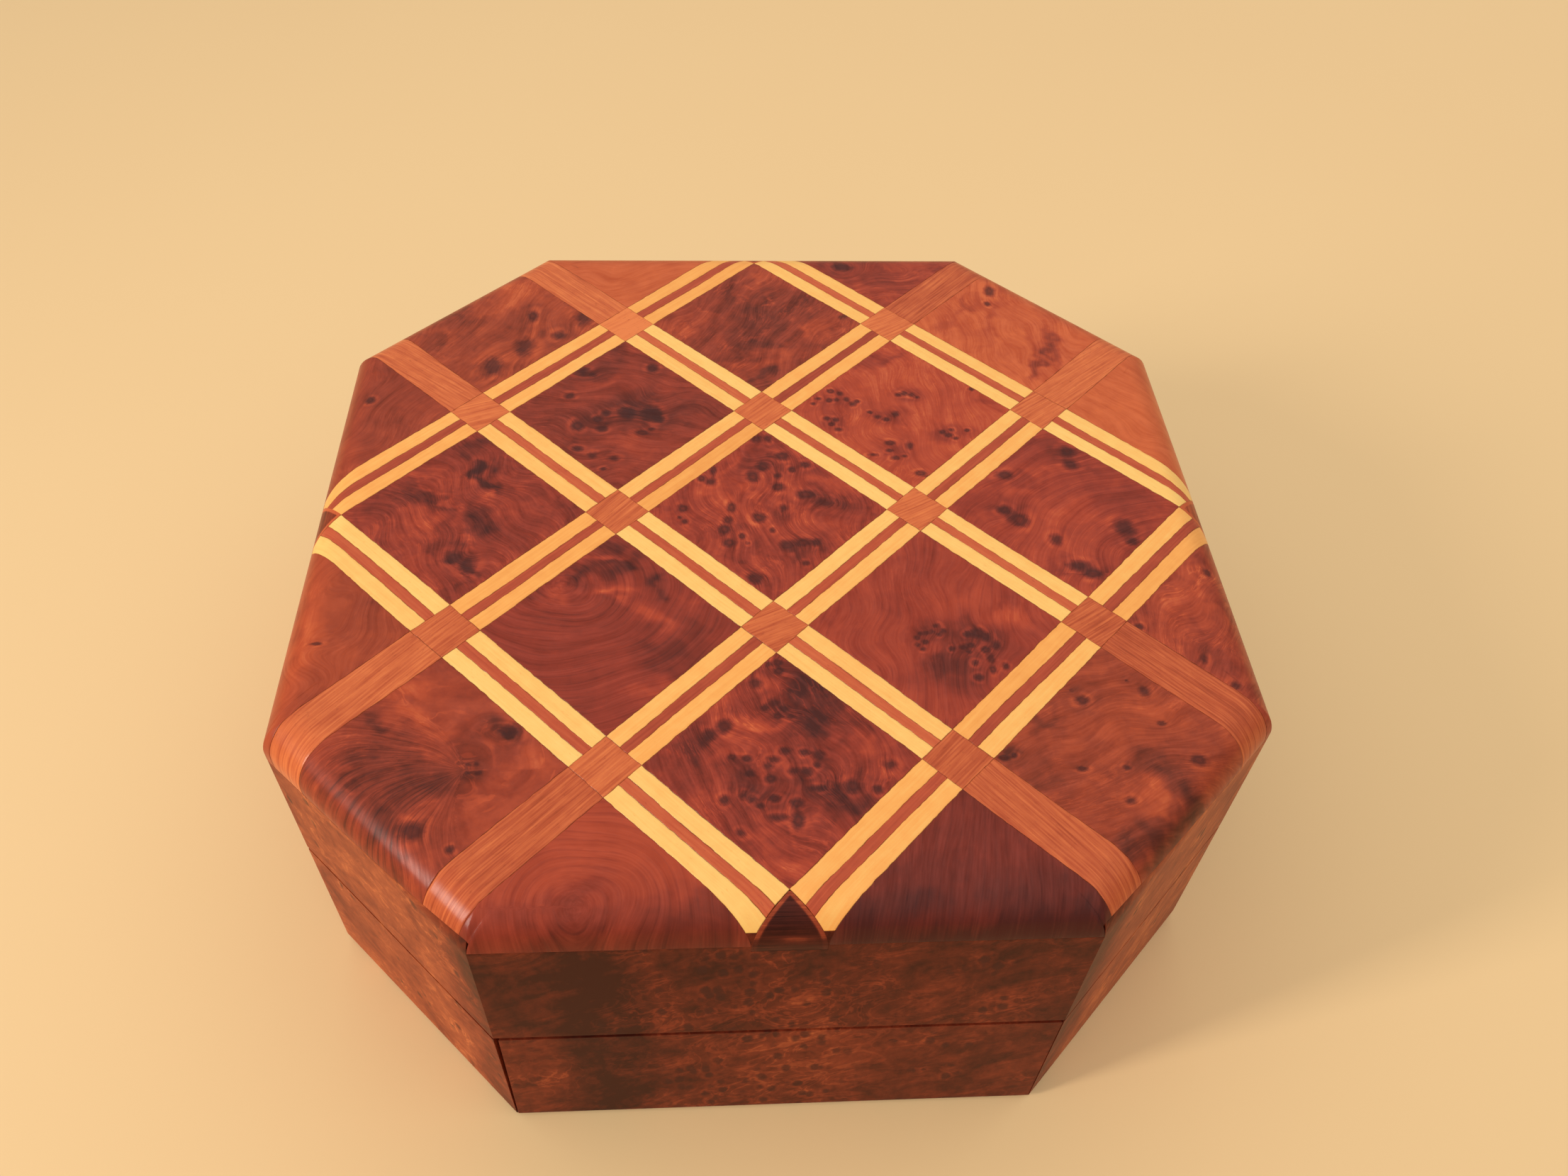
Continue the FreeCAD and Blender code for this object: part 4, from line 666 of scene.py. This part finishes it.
def lay_lattice(woods):
    """The bands that run out over the short sides, the strips along the lattice's lines, with a red
    one between two pale ones, and the small squares where the lines cross."""
    bands, pale, red, crossings = Inlay(), Inlay(), Inlay(), Inlay()
    rng = np.random.default_rng(PIECE_SEED)
    for side, hand in itertools.product(SIDE_TILES, (-1, 1)):
        grid = border_grid(side, (hand * GAPS[1][1], hand * GAPS[2][0]), *BAND_GRID)
        turn = TURNS[side] + math.pi / 2 + rng.uniform(-BAND_STRAY, BAND_STRAY)
        bands.add_plain(grid, turn, rng.uniform(*BAND_TONES), BAND_SEED + 2 * side + hand)
    edges = (-BAND / 2, -RED_STRIP / 2, RED_STRIP / 2, BAND / 2)
    strips = (pale, *edges[:2]), (red, *edges[1:3]), (pale, *edges[2:])
    for line, gap, crosswise, strip in itertools.product(LINES, GAPS, (False, True), strips):
        wood, near, far = strip
        wide = line + near, line + far
        # Mean tone by direction: the difference between the two is painted sheen.
        if crosswise:
            grid, turn, mean = lattice_grid(gap, wide, *STRIP_GRID[::-1]), -math.pi / 4, LEAN_LEFT
        else:
            grid, turn, mean = lattice_grid(wide, gap, *STRIP_GRID), math.pi / 4, LEAN_RIGHT
        tone = rng.normal(mean, STRIP_SWING)
        wood.add_plain(grid, turn, tone, STRIP_SEED + len(wood.corners))
    for (i, u_line), (j, v_line) in itertools.product(enumerate(LINES), repeat=2):
        if i in OUTER_LINES and j in OUTER_LINES:
            continue
        ends = [(line - BAND / 2, line + BAND / 2) for line in (u_line, v_line)]
        grid = lattice_grid(*ends, *CROSSING_GRID)
        turn = CROSSING_TURN + rng.uniform(-CROSSING_STRAY, CROSSING_STRAY)
        # The rise towards the back is painted light.
        tone = rng.uniform(*CROSSING_TONES) + CROSSING_PAINTED_LIGHT_RISE * (v_line - u_line) / ROOT2
        crossings.add_plain(grid, turn, tone, CROSSING_SEED + len(LINES) * i + j)
    bands.lay("border_bands", "cut", "plain_thuya", woods["plain"])
    pale.lay("lemonwood_strips", "cut", "lemonwood", woods["lemonwood"])
    red.lay("red_strips", "cut", "red_wood", woods["red"])
    crossings.lay("lattice_squares", "cut", "plain_thuya", woods["plain"])


def lay_ends(wood):
    """The half squares in the middle of the long sides, with a pale streak and pale edges."""
    ends = Inlay()
    for side, ground in END_TONES.items():
        points, normals = crown(*end_triangle(side, *END_GRID))
        plan, depth = points[..., :2], HEIGHT - points[..., 2]
        x, out = plan @ ALONG[side], plan @ OUTWARD[side]
        margin = (BAND / ROOT2 - LONG_FACE + out - np.abs(x)) / ROOT2
        off = ((x - STREAK_X) / STREAK_HALF) ** 2 + ((depth - STREAK_DEPTH) / STREAK_TALL) ** 2
        edge = np.clip((EDGE_WIDTH - margin) / EDGE_SOFT, 0, 1)
        edge = edge * np.clip((EDGE_END - depth) / EDGE_FADE, EDGE_LEAST, 1)
        tone = ground + STREAK_TONE * np.exp(-off) + EDGE_TONE * edge
        unrolled = plan + OUTWARD[side] * depth[..., None]
        ends.add(points, normals, *straight_grain(unrolled, TURNS[side], tone, END_SEED + side))
    ends.lay("lattice_end_triangles", "cut", "thuya_burl", wood)


# Materials

def paint(red, green, blue):
    """A colour written as a screen shows it, 0 to 255, in the linear values that a shader takes."""
    share = np.array([red, green, blue]) / 255
    linear = np.where(share <= 0.04045, share / 12.92, ((share + 0.055) / 1.055) ** 2.4)
    return (*linear.tolist(), 1.0)


def shades(*stops):
    """Stops of a ramp, each given by its place and its colour on a screen."""
    return [(place, paint(*colour)) for place, *colour in stops]


class Wire:
    """A node's output in a material. Arithmetic on it adds Math nodes, and make adds any node."""

    def __init__(self, tree, socket=None):
        self.tree = tree
        self.socket = socket

    def feed(self, socket, value):
        """Links a socket to a wire, or sets it."""
        if isinstance(value, Wire):
            self.tree.links.new(value.socket, socket)
        else:
            socket.default_value = value

    def make(self, kind, inputs=None, output=0, **settings):
        """A node of a type, with its settings made first and then its sockets set or linked."""
        node = self.tree.nodes.new("ShaderNode" + kind)
        for key, value in settings.items():
            if key == "stops":
                elements = node.color_ramp.elements
                elements.remove(elements[1])
                elements[0].position, elements[0].color = value[0]
                for place, colour in value[1:]:
                    elements.new(place).color = colour
            else:
                setattr(node, key, value)
        for key, value in (inputs or {}).items():
            self.feed(node.inputs[key], value)
        return Wire(self.tree, node.outputs[output])

    def math(self, operation, *values):
        return self.make("Math", dict(enumerate(values)), operation=operation)

    def __add__(self, other):
        return self.math("ADD", self, other)

    def __radd__(self, other):
        return self.math("ADD", other, self)

    def __sub__(self, other):
        return self.math("SUBTRACT", self, other)

    def __rsub__(self, other):
        return self.math("SUBTRACT", other, self)

    def __mul__(self, other):
        return self.math("MULTIPLY", self, other)

    def __rmul__(self, other):
        return self.math("MULTIPLY", other, self)

    def __pow__(self, other):
        return self.math("POWER", self, other)

    def __rpow__(self, other):
        return self.math("POWER", other, self)

    def parts(self):
        """The three numbers of a vector."""
        return [self.make("SeparateXYZ", {0: self}, place) for place in range(3)]

    def fade(self, low, high):
        """0 up to low, 1 from high on, and a smooth rise between."""
        inputs = {"Value": self, "From Min": low, "From Max": high}
        return self.make("MapRange", inputs, interpolation_type="SMOOTHSTEP")

    def tinted(self, first, second):
        """The first colour where this is 0, and the second where it is 1."""
        return self.make("Mix", {0: self, 6: first, 7: second}, 2, data_type="RGBA")

    def ramp(self, stops):
        """A colour from stops along this value."""
        return self.make("ValToRGB", {0: self}, stops=stops)

    def noise(self, place, scale=1.0, detail=2.0, rough=0.5, distortion=0.0):
        """Fractal noise about 0.5 at a place in millimetres."""
        return self.make("TexNoise", {"Vector": place, "Scale": scale, "Detail": detail,
                                      "Roughness": rough, "Distortion": distortion})

    def attribute(self, name):
        return self.make("Attribute", output="Vector", attribute_name=name)

    def point(self, x, y, z=0.0):
        """A vector of three numbers."""
        return self.make("CombineXYZ", {0: x, 1: y, 2: z})

    def millimetres(self):
        """The object's own coordinates in millimetres."""
        place = self.make("TexCoord", output="Object")
        return self.make("VectorMath", {0: place, "Scale": 1 / MM}, operation="SCALE")

    def bump(self, strength, distance):
        """A normal from this height, with a distance in millimetres."""
        return self.make("Bump", {"Strength": strength, "Distance": distance * MM, "Height": self})

    def coat(self, **sockets):
        """Sets or links the shader's sockets, whose names have underscores for spaces."""
        shader = self.tree.nodes["Principled BSDF"]
        for key, value in sockets.items():
            self.feed(shader.inputs[key.replace("_", " ")], value)

    def varnish(self, colour, rough, gloss):
        """A wood under a clear coat, as strong as its gloss."""
        self.coat(Base_Color=colour, Roughness=rough, Coat_Weight=gloss, Coat_Roughness=COAT_ROUGH,
                  Coat_IOR=1.5, Specular_IOR_Level=0.06)


def new_material(name):
    """An empty material and its wire."""
    material = bpy.data.materials.new(name)
    material.use_nodes = True
    return material, Wire(material.node_tree)


# Colours by tone
RED_BURL = shades((0.0, 74, 30, 24), (0.25, 110, 40, 28), (0.5, 146, 53, 36), (0.75, 176, 68, 42),
                  (1.0, 206, 96, 54))
BROWN_BURL = shades((0.0, 72, 34, 20), (0.25, 110, 48, 27), (0.5, 148, 63, 34),
                    (0.75, 180, 80, 41), (1.0, 210, 104, 56))
WALL_BURL = shades((0.0, 64, 22, 13), (0.25, 100, 37, 21), (0.5, 134, 54, 31),
                   (0.75, 166, 78, 44), (1.0, 202, 110, 62))
PLAIN = shades((0.0, 138, 56, 28), (0.33, 180, 80, 45), (0.66, 208, 105, 58), (1.0, 230, 128, 70))
LEMONWOOD = shades((0.0, 232, 150, 74), (0.3, 246, 170, 88), (0.7, 249, 196, 110),
                   (1.0, 252, 208, 124))
RED_WOOD = shades((0.0, 150, 58, 38), (0.5, 188, 82, 50), (1.0, 212, 106, 62))
END_BURL = shades((0.0, 52, 22, 16), (0.4, 92, 36, 24), (0.75, 150, 64, 38), (1.0, 196, 92, 52))
BOARD = shades((0.0, 118, 54, 30), (0.5, 170, 88, 48), (1.0, 206, 124, 72))
LINING = shades((0.0, 128, 72, 40), (0.5, 176, 112, 66), (1.0, 204, 146, 94))
EYE = paint(66, 27, 22)
GLUE = paint(120, 52, 26)
COAT_ROUGH = 0.2

# Parts of the walls, in millimetres: where each one's fade begins and ends
# The front's darkening is partly the wood's own tone and partly painted shade; the left walls'
# lightening is painted light.
FRONT_TONE_AND_SHADE_Y, LEFT_PAINTED_LIGHT_X = (-69.0, -62.0), (-46.0, -38.0)
# The front-right walls' lightening is a painted reflection of the floor.
RIGHT_PAINTED_REFLECTION_X, RIGHT_PAINTED_REFLECTION_Y = (40.0, 48.0), (-36.0, -28.0)
# Over these heights the front's darkening, partly painted shade, deepens on the lid.
SEAM_Z = 29.0, 31.0


def tile_burl():
    """Burl of the lid's tiles: tone from the figure, streaks along its grain, fine mottling, and
    eyes with broken pale rims."""
    material, wire = new_material("thuya_burl_tiles")
    place = wire.millimetres()
    across, along, tone = wire.attribute("figure").parts()
    reach, edge, _ = wire.attribute("mark").parts()
    brown, mottled, years = wire.attribute("blend").parts()
    streak = wire.noise(wire.point(across * 0.55, along * 0.08), 1.0, 5.0, 0.6, 0.2)
    hair = wire.noise(wire.point(across * 3.6, along * 0.25, 7.0))
    mottle = wire.noise(place, 0.5, 5.0, 0.68)
    patch = wire.noise(place, 0.17)
    year = wire.math("SINE", across * 4.2 + streak * 10.0).fade(0.4, 1.0) * patch.fade(0.38, 0.6)
    wisp = wire.noise(wire.point(across * 1.1, along * 0.14, 3.0), 1.0, 3.0, 0.6, 0.4)
    wisp = (1 - ((wisp - 0.5) ** 2.0).fade(0.0, 0.0008)) * (1 - patch.fade(0.4, 0.55))
    reach = reach + (mottle - 0.5) * 1.1 + (hair - 0.5) * 0.4
    core = (1 - reach.fade(0.6, 1.4)) * (0.48 + reach.fade(0.2, 0.7) * 0.3)
    rim = reach.fade(1.2, 1.6) * (1 - reach.fade(1.7, 2.5)) * streak.fade(0.38, 0.6)
    shade = tone + (streak - 0.5) * (0.3 + mottled * 0.5) + (hair - 0.5) * (0.16 + mottled * 0.16)
    shade = shade + (mottle - 0.5) * mottled * 0.45 + wisp * mottled * 0.18
    shade = shade - year * years + rim * 0.2
    colour = brown.tinted(shade.ramp(RED_BURL), shade.ramp(BROWN_BURL))
    colour = (edge * 0.8).tinted(core.tinted(colour, EYE), GLUE)
    gloss = 0.22 + (hair - 0.5) * 0.4 + (streak - 0.5) * 0.4
    wire.varnish(colour, 0.4, gloss)
    return material


def wall_burl():
    """Burl of the solid walls, in the wood's own space: clouds that are longer upwards than
    sideways, swirls and pale wisps that rise to the right, and clusters of eyes with pale rings.
    The front is darker, partly in its own tone and partly by painted shade, and darker again on the
    lid; it has a darker cloud left of its middle and most of its eyes in the middle. The walls on
    the left are lighter by painted light, and the front-right walls by a painted reflection of the
    floor."""
    material, wire = new_material("thuya_burl_walls")
    place = wire.millimetres()
    x, y, z = place.parts()
    tall = wire.point(x, y, z * 0.6)
    flow = wire.point(x * 0.75, y * 0.75, z * 1.15 - x * 0.45)
    cloud = wire.noise(tall, 0.055, 3.0, 0.55, 0.8)
    swirl = wire.noise(flow, 0.13, 5.0, 0.6, 1.6)
    mottle = wire.noise(tall, 0.6, 4.0, 0.66)
    wisp = wire.noise(flow, 0.15, 3.0, 0.55, 2.0)
    wisp = (1 - ((wisp - 0.5) ** 2.0).fade(0.0, 0.0016)) * cloud.fade(0.36, 0.56)
    # Front mask: a darker front, partly the wood's own tone and partly painted shade.
    front = 1 - y.fade(*FRONT_TONE_AND_SHADE_Y)
    # Painted light on the walls on the left, and a painted reflection of the floor on the
    # front-right walls.
    left = 1 - x.fade(*LEFT_PAINTED_LIGHT_X)
    right = x.fade(*RIGHT_PAINTED_REFLECTION_X) * (1 - y.fade(*RIGHT_PAINTED_REFLECTION_Y))
    dark = ((x + 24.0) * 0.12) ** 2.0 + ((z - 26.0) * 0.02) ** 2.0
    dark = (1 - dark.fade(0.1, 1.0)) * front
    middle = (1 - (((x + 3.0) * 0.055) ** 2.0).fade(0.1, 1.0)) * front
    group = wire.math("MAXIMUM", wire.noise(place, 0.1).fade(0.52, 0.62), middle)
    cells = {"Vector": tall, "Scale": 0.5}
    reach = wire.make("TexVoronoi", cells, "Distance") + (mottle - 0.5) * 0.45
    size = wire.make("TexVoronoi", cells, "Color").parts()[0]
    eye = group * size.fade(0.3, 0.5)
    core = (1 - reach.fade(0.2, 0.46)) * eye * 0.7
    halo = reach.fade(0.3, 0.5) * (1 - reach.fade(0.5, 0.75)) * eye
    shade = 0.42 + (cloud - 0.5) * 0.7 + (swirl - 0.5) * 0.8 + (mottle - 0.5) * 0.55 + halo * 0.1
    # The walls on the left are lighter by painted light, the front-right walls by a painted
    # reflection.
    shade = shade + wisp * (group * 0.1 + 0.11) + left * 0.2 + right * 0.3
    # The front is darker, partly in its own tone and partly by painted shade, and darker still on
    # the lid.
    shade = shade - front * (0.16 + z.fade(*SEAM_Z) * 0.08) - dark * 0.2
    wire.varnish(core.tinted(shade.ramp(WALL_BURL), EYE), 0.45, 0.06)
    return material


def plain_wood(name, stops, streaks, flecks, gloss):
    """A plain wood of the marquetry: its own tone, fine lines along its grain, and dark flecks."""
    material, wire = new_material(name)
    across, along, tone = wire.attribute("figure").parts()
    edge = wire.attribute("mark").parts()[1]
    line = wire.noise(wire.point(across * 1.6, along * 0.05), 1.0, 4.0, 0.65)
    fine = wire.noise(wire.point(across * 3.4, along * 0.12, 3.0))
    mottle = wire.noise(wire.millimetres(), 0.5, 3.0)
    shade = tone + (line - 0.5) * streaks + (fine - 0.5) * streaks * 1.2 + (mottle - 0.5) * 0.3
    pore = wire.noise(wire.point(across * 3.5, along, 4.0), 1.0, 1.0).fade(0.64, 0.76) * flecks
    colour = (edge * 0.6).tinted(pore.tinted(shade.ramp(stops), stops[0][1]), GLUE)
    wire.varnish(colour, 0.35, gloss + (fine - 0.5) * 0.3)
    return material


def solid_wood(name, stops, turn, rough, coat):
    """A plain wood of the inside: bent year lines and short pores along x, turned in plan by
    degrees."""
    material, wire = new_material(name)
    back = (0.0, 0.0, -math.radians(turn))
    place = wire.make("Mapping", {"Vector": wire.millimetres(), "Rotation": back})
    x, y, z = place.parts()
    line = wire.noise(wire.point(x * 0.02, y * 0.45, z * 0.45), 1.0, 3.0, 0.55, 0.6)
    fine = wire.noise(wire.point(x * 0.15, y * 3.5, z * 3.5))
    shade = 0.5 + (line - 0.5) * 1.2 + (fine - 0.5) * 0.5
    wire.coat(Base_Color=shade.ramp(stops), Roughness=rough + (fine - 0.5) * 0.2, Coat_Weight=coat,
              Coat_Roughness=COAT_ROUGH, Normal=fine.bump(0.25, 0.05))
    return material


def metal(name, bright, dull, rough):
    """A worked metal: blotches of tarnish and fine scratches."""
    material, wire = new_material(name)
    place = wire.millimetres()
    blotch = wire.noise(place, 0.5, 4.0, 0.6).fade(0.35, 0.75)
    x, y, z = place.parts()
    scratch = wire.noise(wire.point(x * 0.6, y * 9.0, z * 9.0))
    wire.coat(Base_Color=blotch.tinted(bright, dull), Metallic=1.0, Normal=scratch.bump(0.15, 0.01),
              Roughness=rough + blotch * 0.18 + (scratch - 0.5) * 0.2)
    return material


woods = {
    "burl": tile_burl(),
    "walls": wall_burl(),
    "plain": plain_wood("plain_thuya_marquetry", PLAIN, streaks=0.8, flecks=0.35, gloss=0.22),
    "lemonwood": plain_wood("lemonwood_marquetry", LEMONWOOD, streaks=0.3, flecks=0.25, gloss=0.22),
    "red": plain_wood("red_wood_marquetry", RED_WOOD, streaks=0.5, flecks=0.35, gloss=0.22),
    "triangle": plain_wood("burl_end_marquetry", END_BURL, streaks=0.45, flecks=0.3, gloss=0.06),
    "board": solid_wood("plain_thuya_board", BOARD, turn=0, rough=0.4, coat=0.3),
    "brass": metal("brass", paint(206, 166, 92), paint(150, 112, 58), rough=0.24),
    "steel": metal("steel", paint(186, 186, 190), paint(120, 120, 124), rough=0.28),
}
for turn in (0, 45, 90, 135):
    woods[f"lining_{turn}"] = solid_wood(f"lining_wood_{turn}", LINING, turn, rough=0.5, coat=0.1)

lay_tiles(woods["burl"])
lay_lattice(woods)
lay_ends(woods["triangle"])

# The other nodes' materials, by the longest beginning that fits a node's name
FINISHES = {
    "walls": ("lid_wall", "base_wall", "front_panel", "key_panel", "lid_ribs"),
    "board": ("lid_board",),
    "lining_0": ("lip_front", "lip_back", "base_floor", "front_inner_wall", "front_panel_runners"),
    "lining_45": ("lip_front_right", "lip_back_left"),
    "lining_90": ("lip_right", "lip_left"),
    "lining_135": ("lip_front_left", "lip_back_right", "key_inner_wall", "key_panel_runner"),
    "brass": ("keyhole", "hinge", "lid_hinge", "base_hinge", "lock_", "strike"),
    "steel": ("key", "lock_posts", "lock_spring", "lock_bolt", "hinge_left_pin", "hinge_right_pin"),
}
for name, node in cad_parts.items():
    fits = [(len(start), finish) for finish, starts in FINISHES.items()
            for start in starts if name.startswith(start)]
    if fits:
        node.data.materials.clear()
        node.data.materials.append(woods[max(fits)[1]])


# Floor, light and camera, in metres

FLOOR_RINGS, FLOOR_POINTS = (0.5, 1.5, 6.0), 64
SKY_RIM, SKY_RISE = 0.29, 0.82  # the sky's strength at the horizon, and its rise overhead


def stage_floor():
    """A large round floor: rings of points at growing radii round the box, level at the
    underside."""
    material, wire = new_material("pale_floor")
    cloud = wire.noise(wire.millimetres(), 0.004, 3.0)
    colour = cloud.tinted(paint(240, 205, 152), paint(236, 199, 146))
    wire.coat(Base_Color=colour, Roughness=0.9, Specular_IOR_Level=0.2)
    turn = np.linspace(0, 2 * np.pi, FLOOR_POINTS, endpoint=False)
    far, angle = np.meshgrid(FLOOR_RINGS, turn, indexing="ij")
    ring = np.stack([far * np.cos(angle), far * np.sin(angle), 0 * far], -1).reshape(-1, 3)
    index = np.arange(far.size).reshape(far.shape)
    after = np.roll(index, -1, 1)
    quads = np.stack([index[:-1], index[1:], after[1:], after[:-1]], -1).reshape(-1, 4)
    mesh = bpy.data.meshes.new("floor")
    mesh.from_pydata(ring.tolist(), [], [index[0].tolist()] + quads.tolist())
    mesh.materials.append(material)
    floor = put("floor", mesh)


def lamp(name, place, width, height, power, spread, colour):
    """A soft upright panel of light that points at the box, with a grid that keeps it to a cone of
    degrees."""
    light = bpy.data.lights.new(name, "AREA")
    light.shape = "RECTANGLE"
    light.size, light.size_y, light.energy, light.color = width, height, power, colour
    light.spread = math.radians(spread)
    holder = put(name, light)
    holder.location = place
    down = -holder.location.normalized()
    holder.rotation_euler = down.to_track_quat("-Z", "Y").to_euler()


stage_floor()
lamp("left", place=(-1.01, -0.375, 0.5), width=0.15, height=0.6, power=0.66, spread=50,
     colour=(1.0, 0.93, 0.84))

scene = bpy.context.scene
scene.view_settings.view_transform = "Standard"
scene.world = bpy.data.worlds.new("studio")
scene.world.use_nodes = True
sky = Wire(scene.world.node_tree)
background = sky.tree.nodes["Background"].inputs
height = sky.make("TexCoord", output="Generated").parts()[2]
sky.feed(background["Strength"], height.fade(0.0, 1.0) * SKY_RISE + SKY_RIM)
sky.feed(background["Color"], (1.0, 0.98, 0.95, 1.0))

camera = scene.camera = put("camera", bpy.data.cameras.new("camera"))
camera.data.sensor_width = 36.0
camera.data.lens = 30.06
camera.data.clip_start = 0.01
camera.location = (-0.00981, -0.14289, 0.20563)
camera.rotation_euler = np.radians([41.23, -2.10, -2.775])
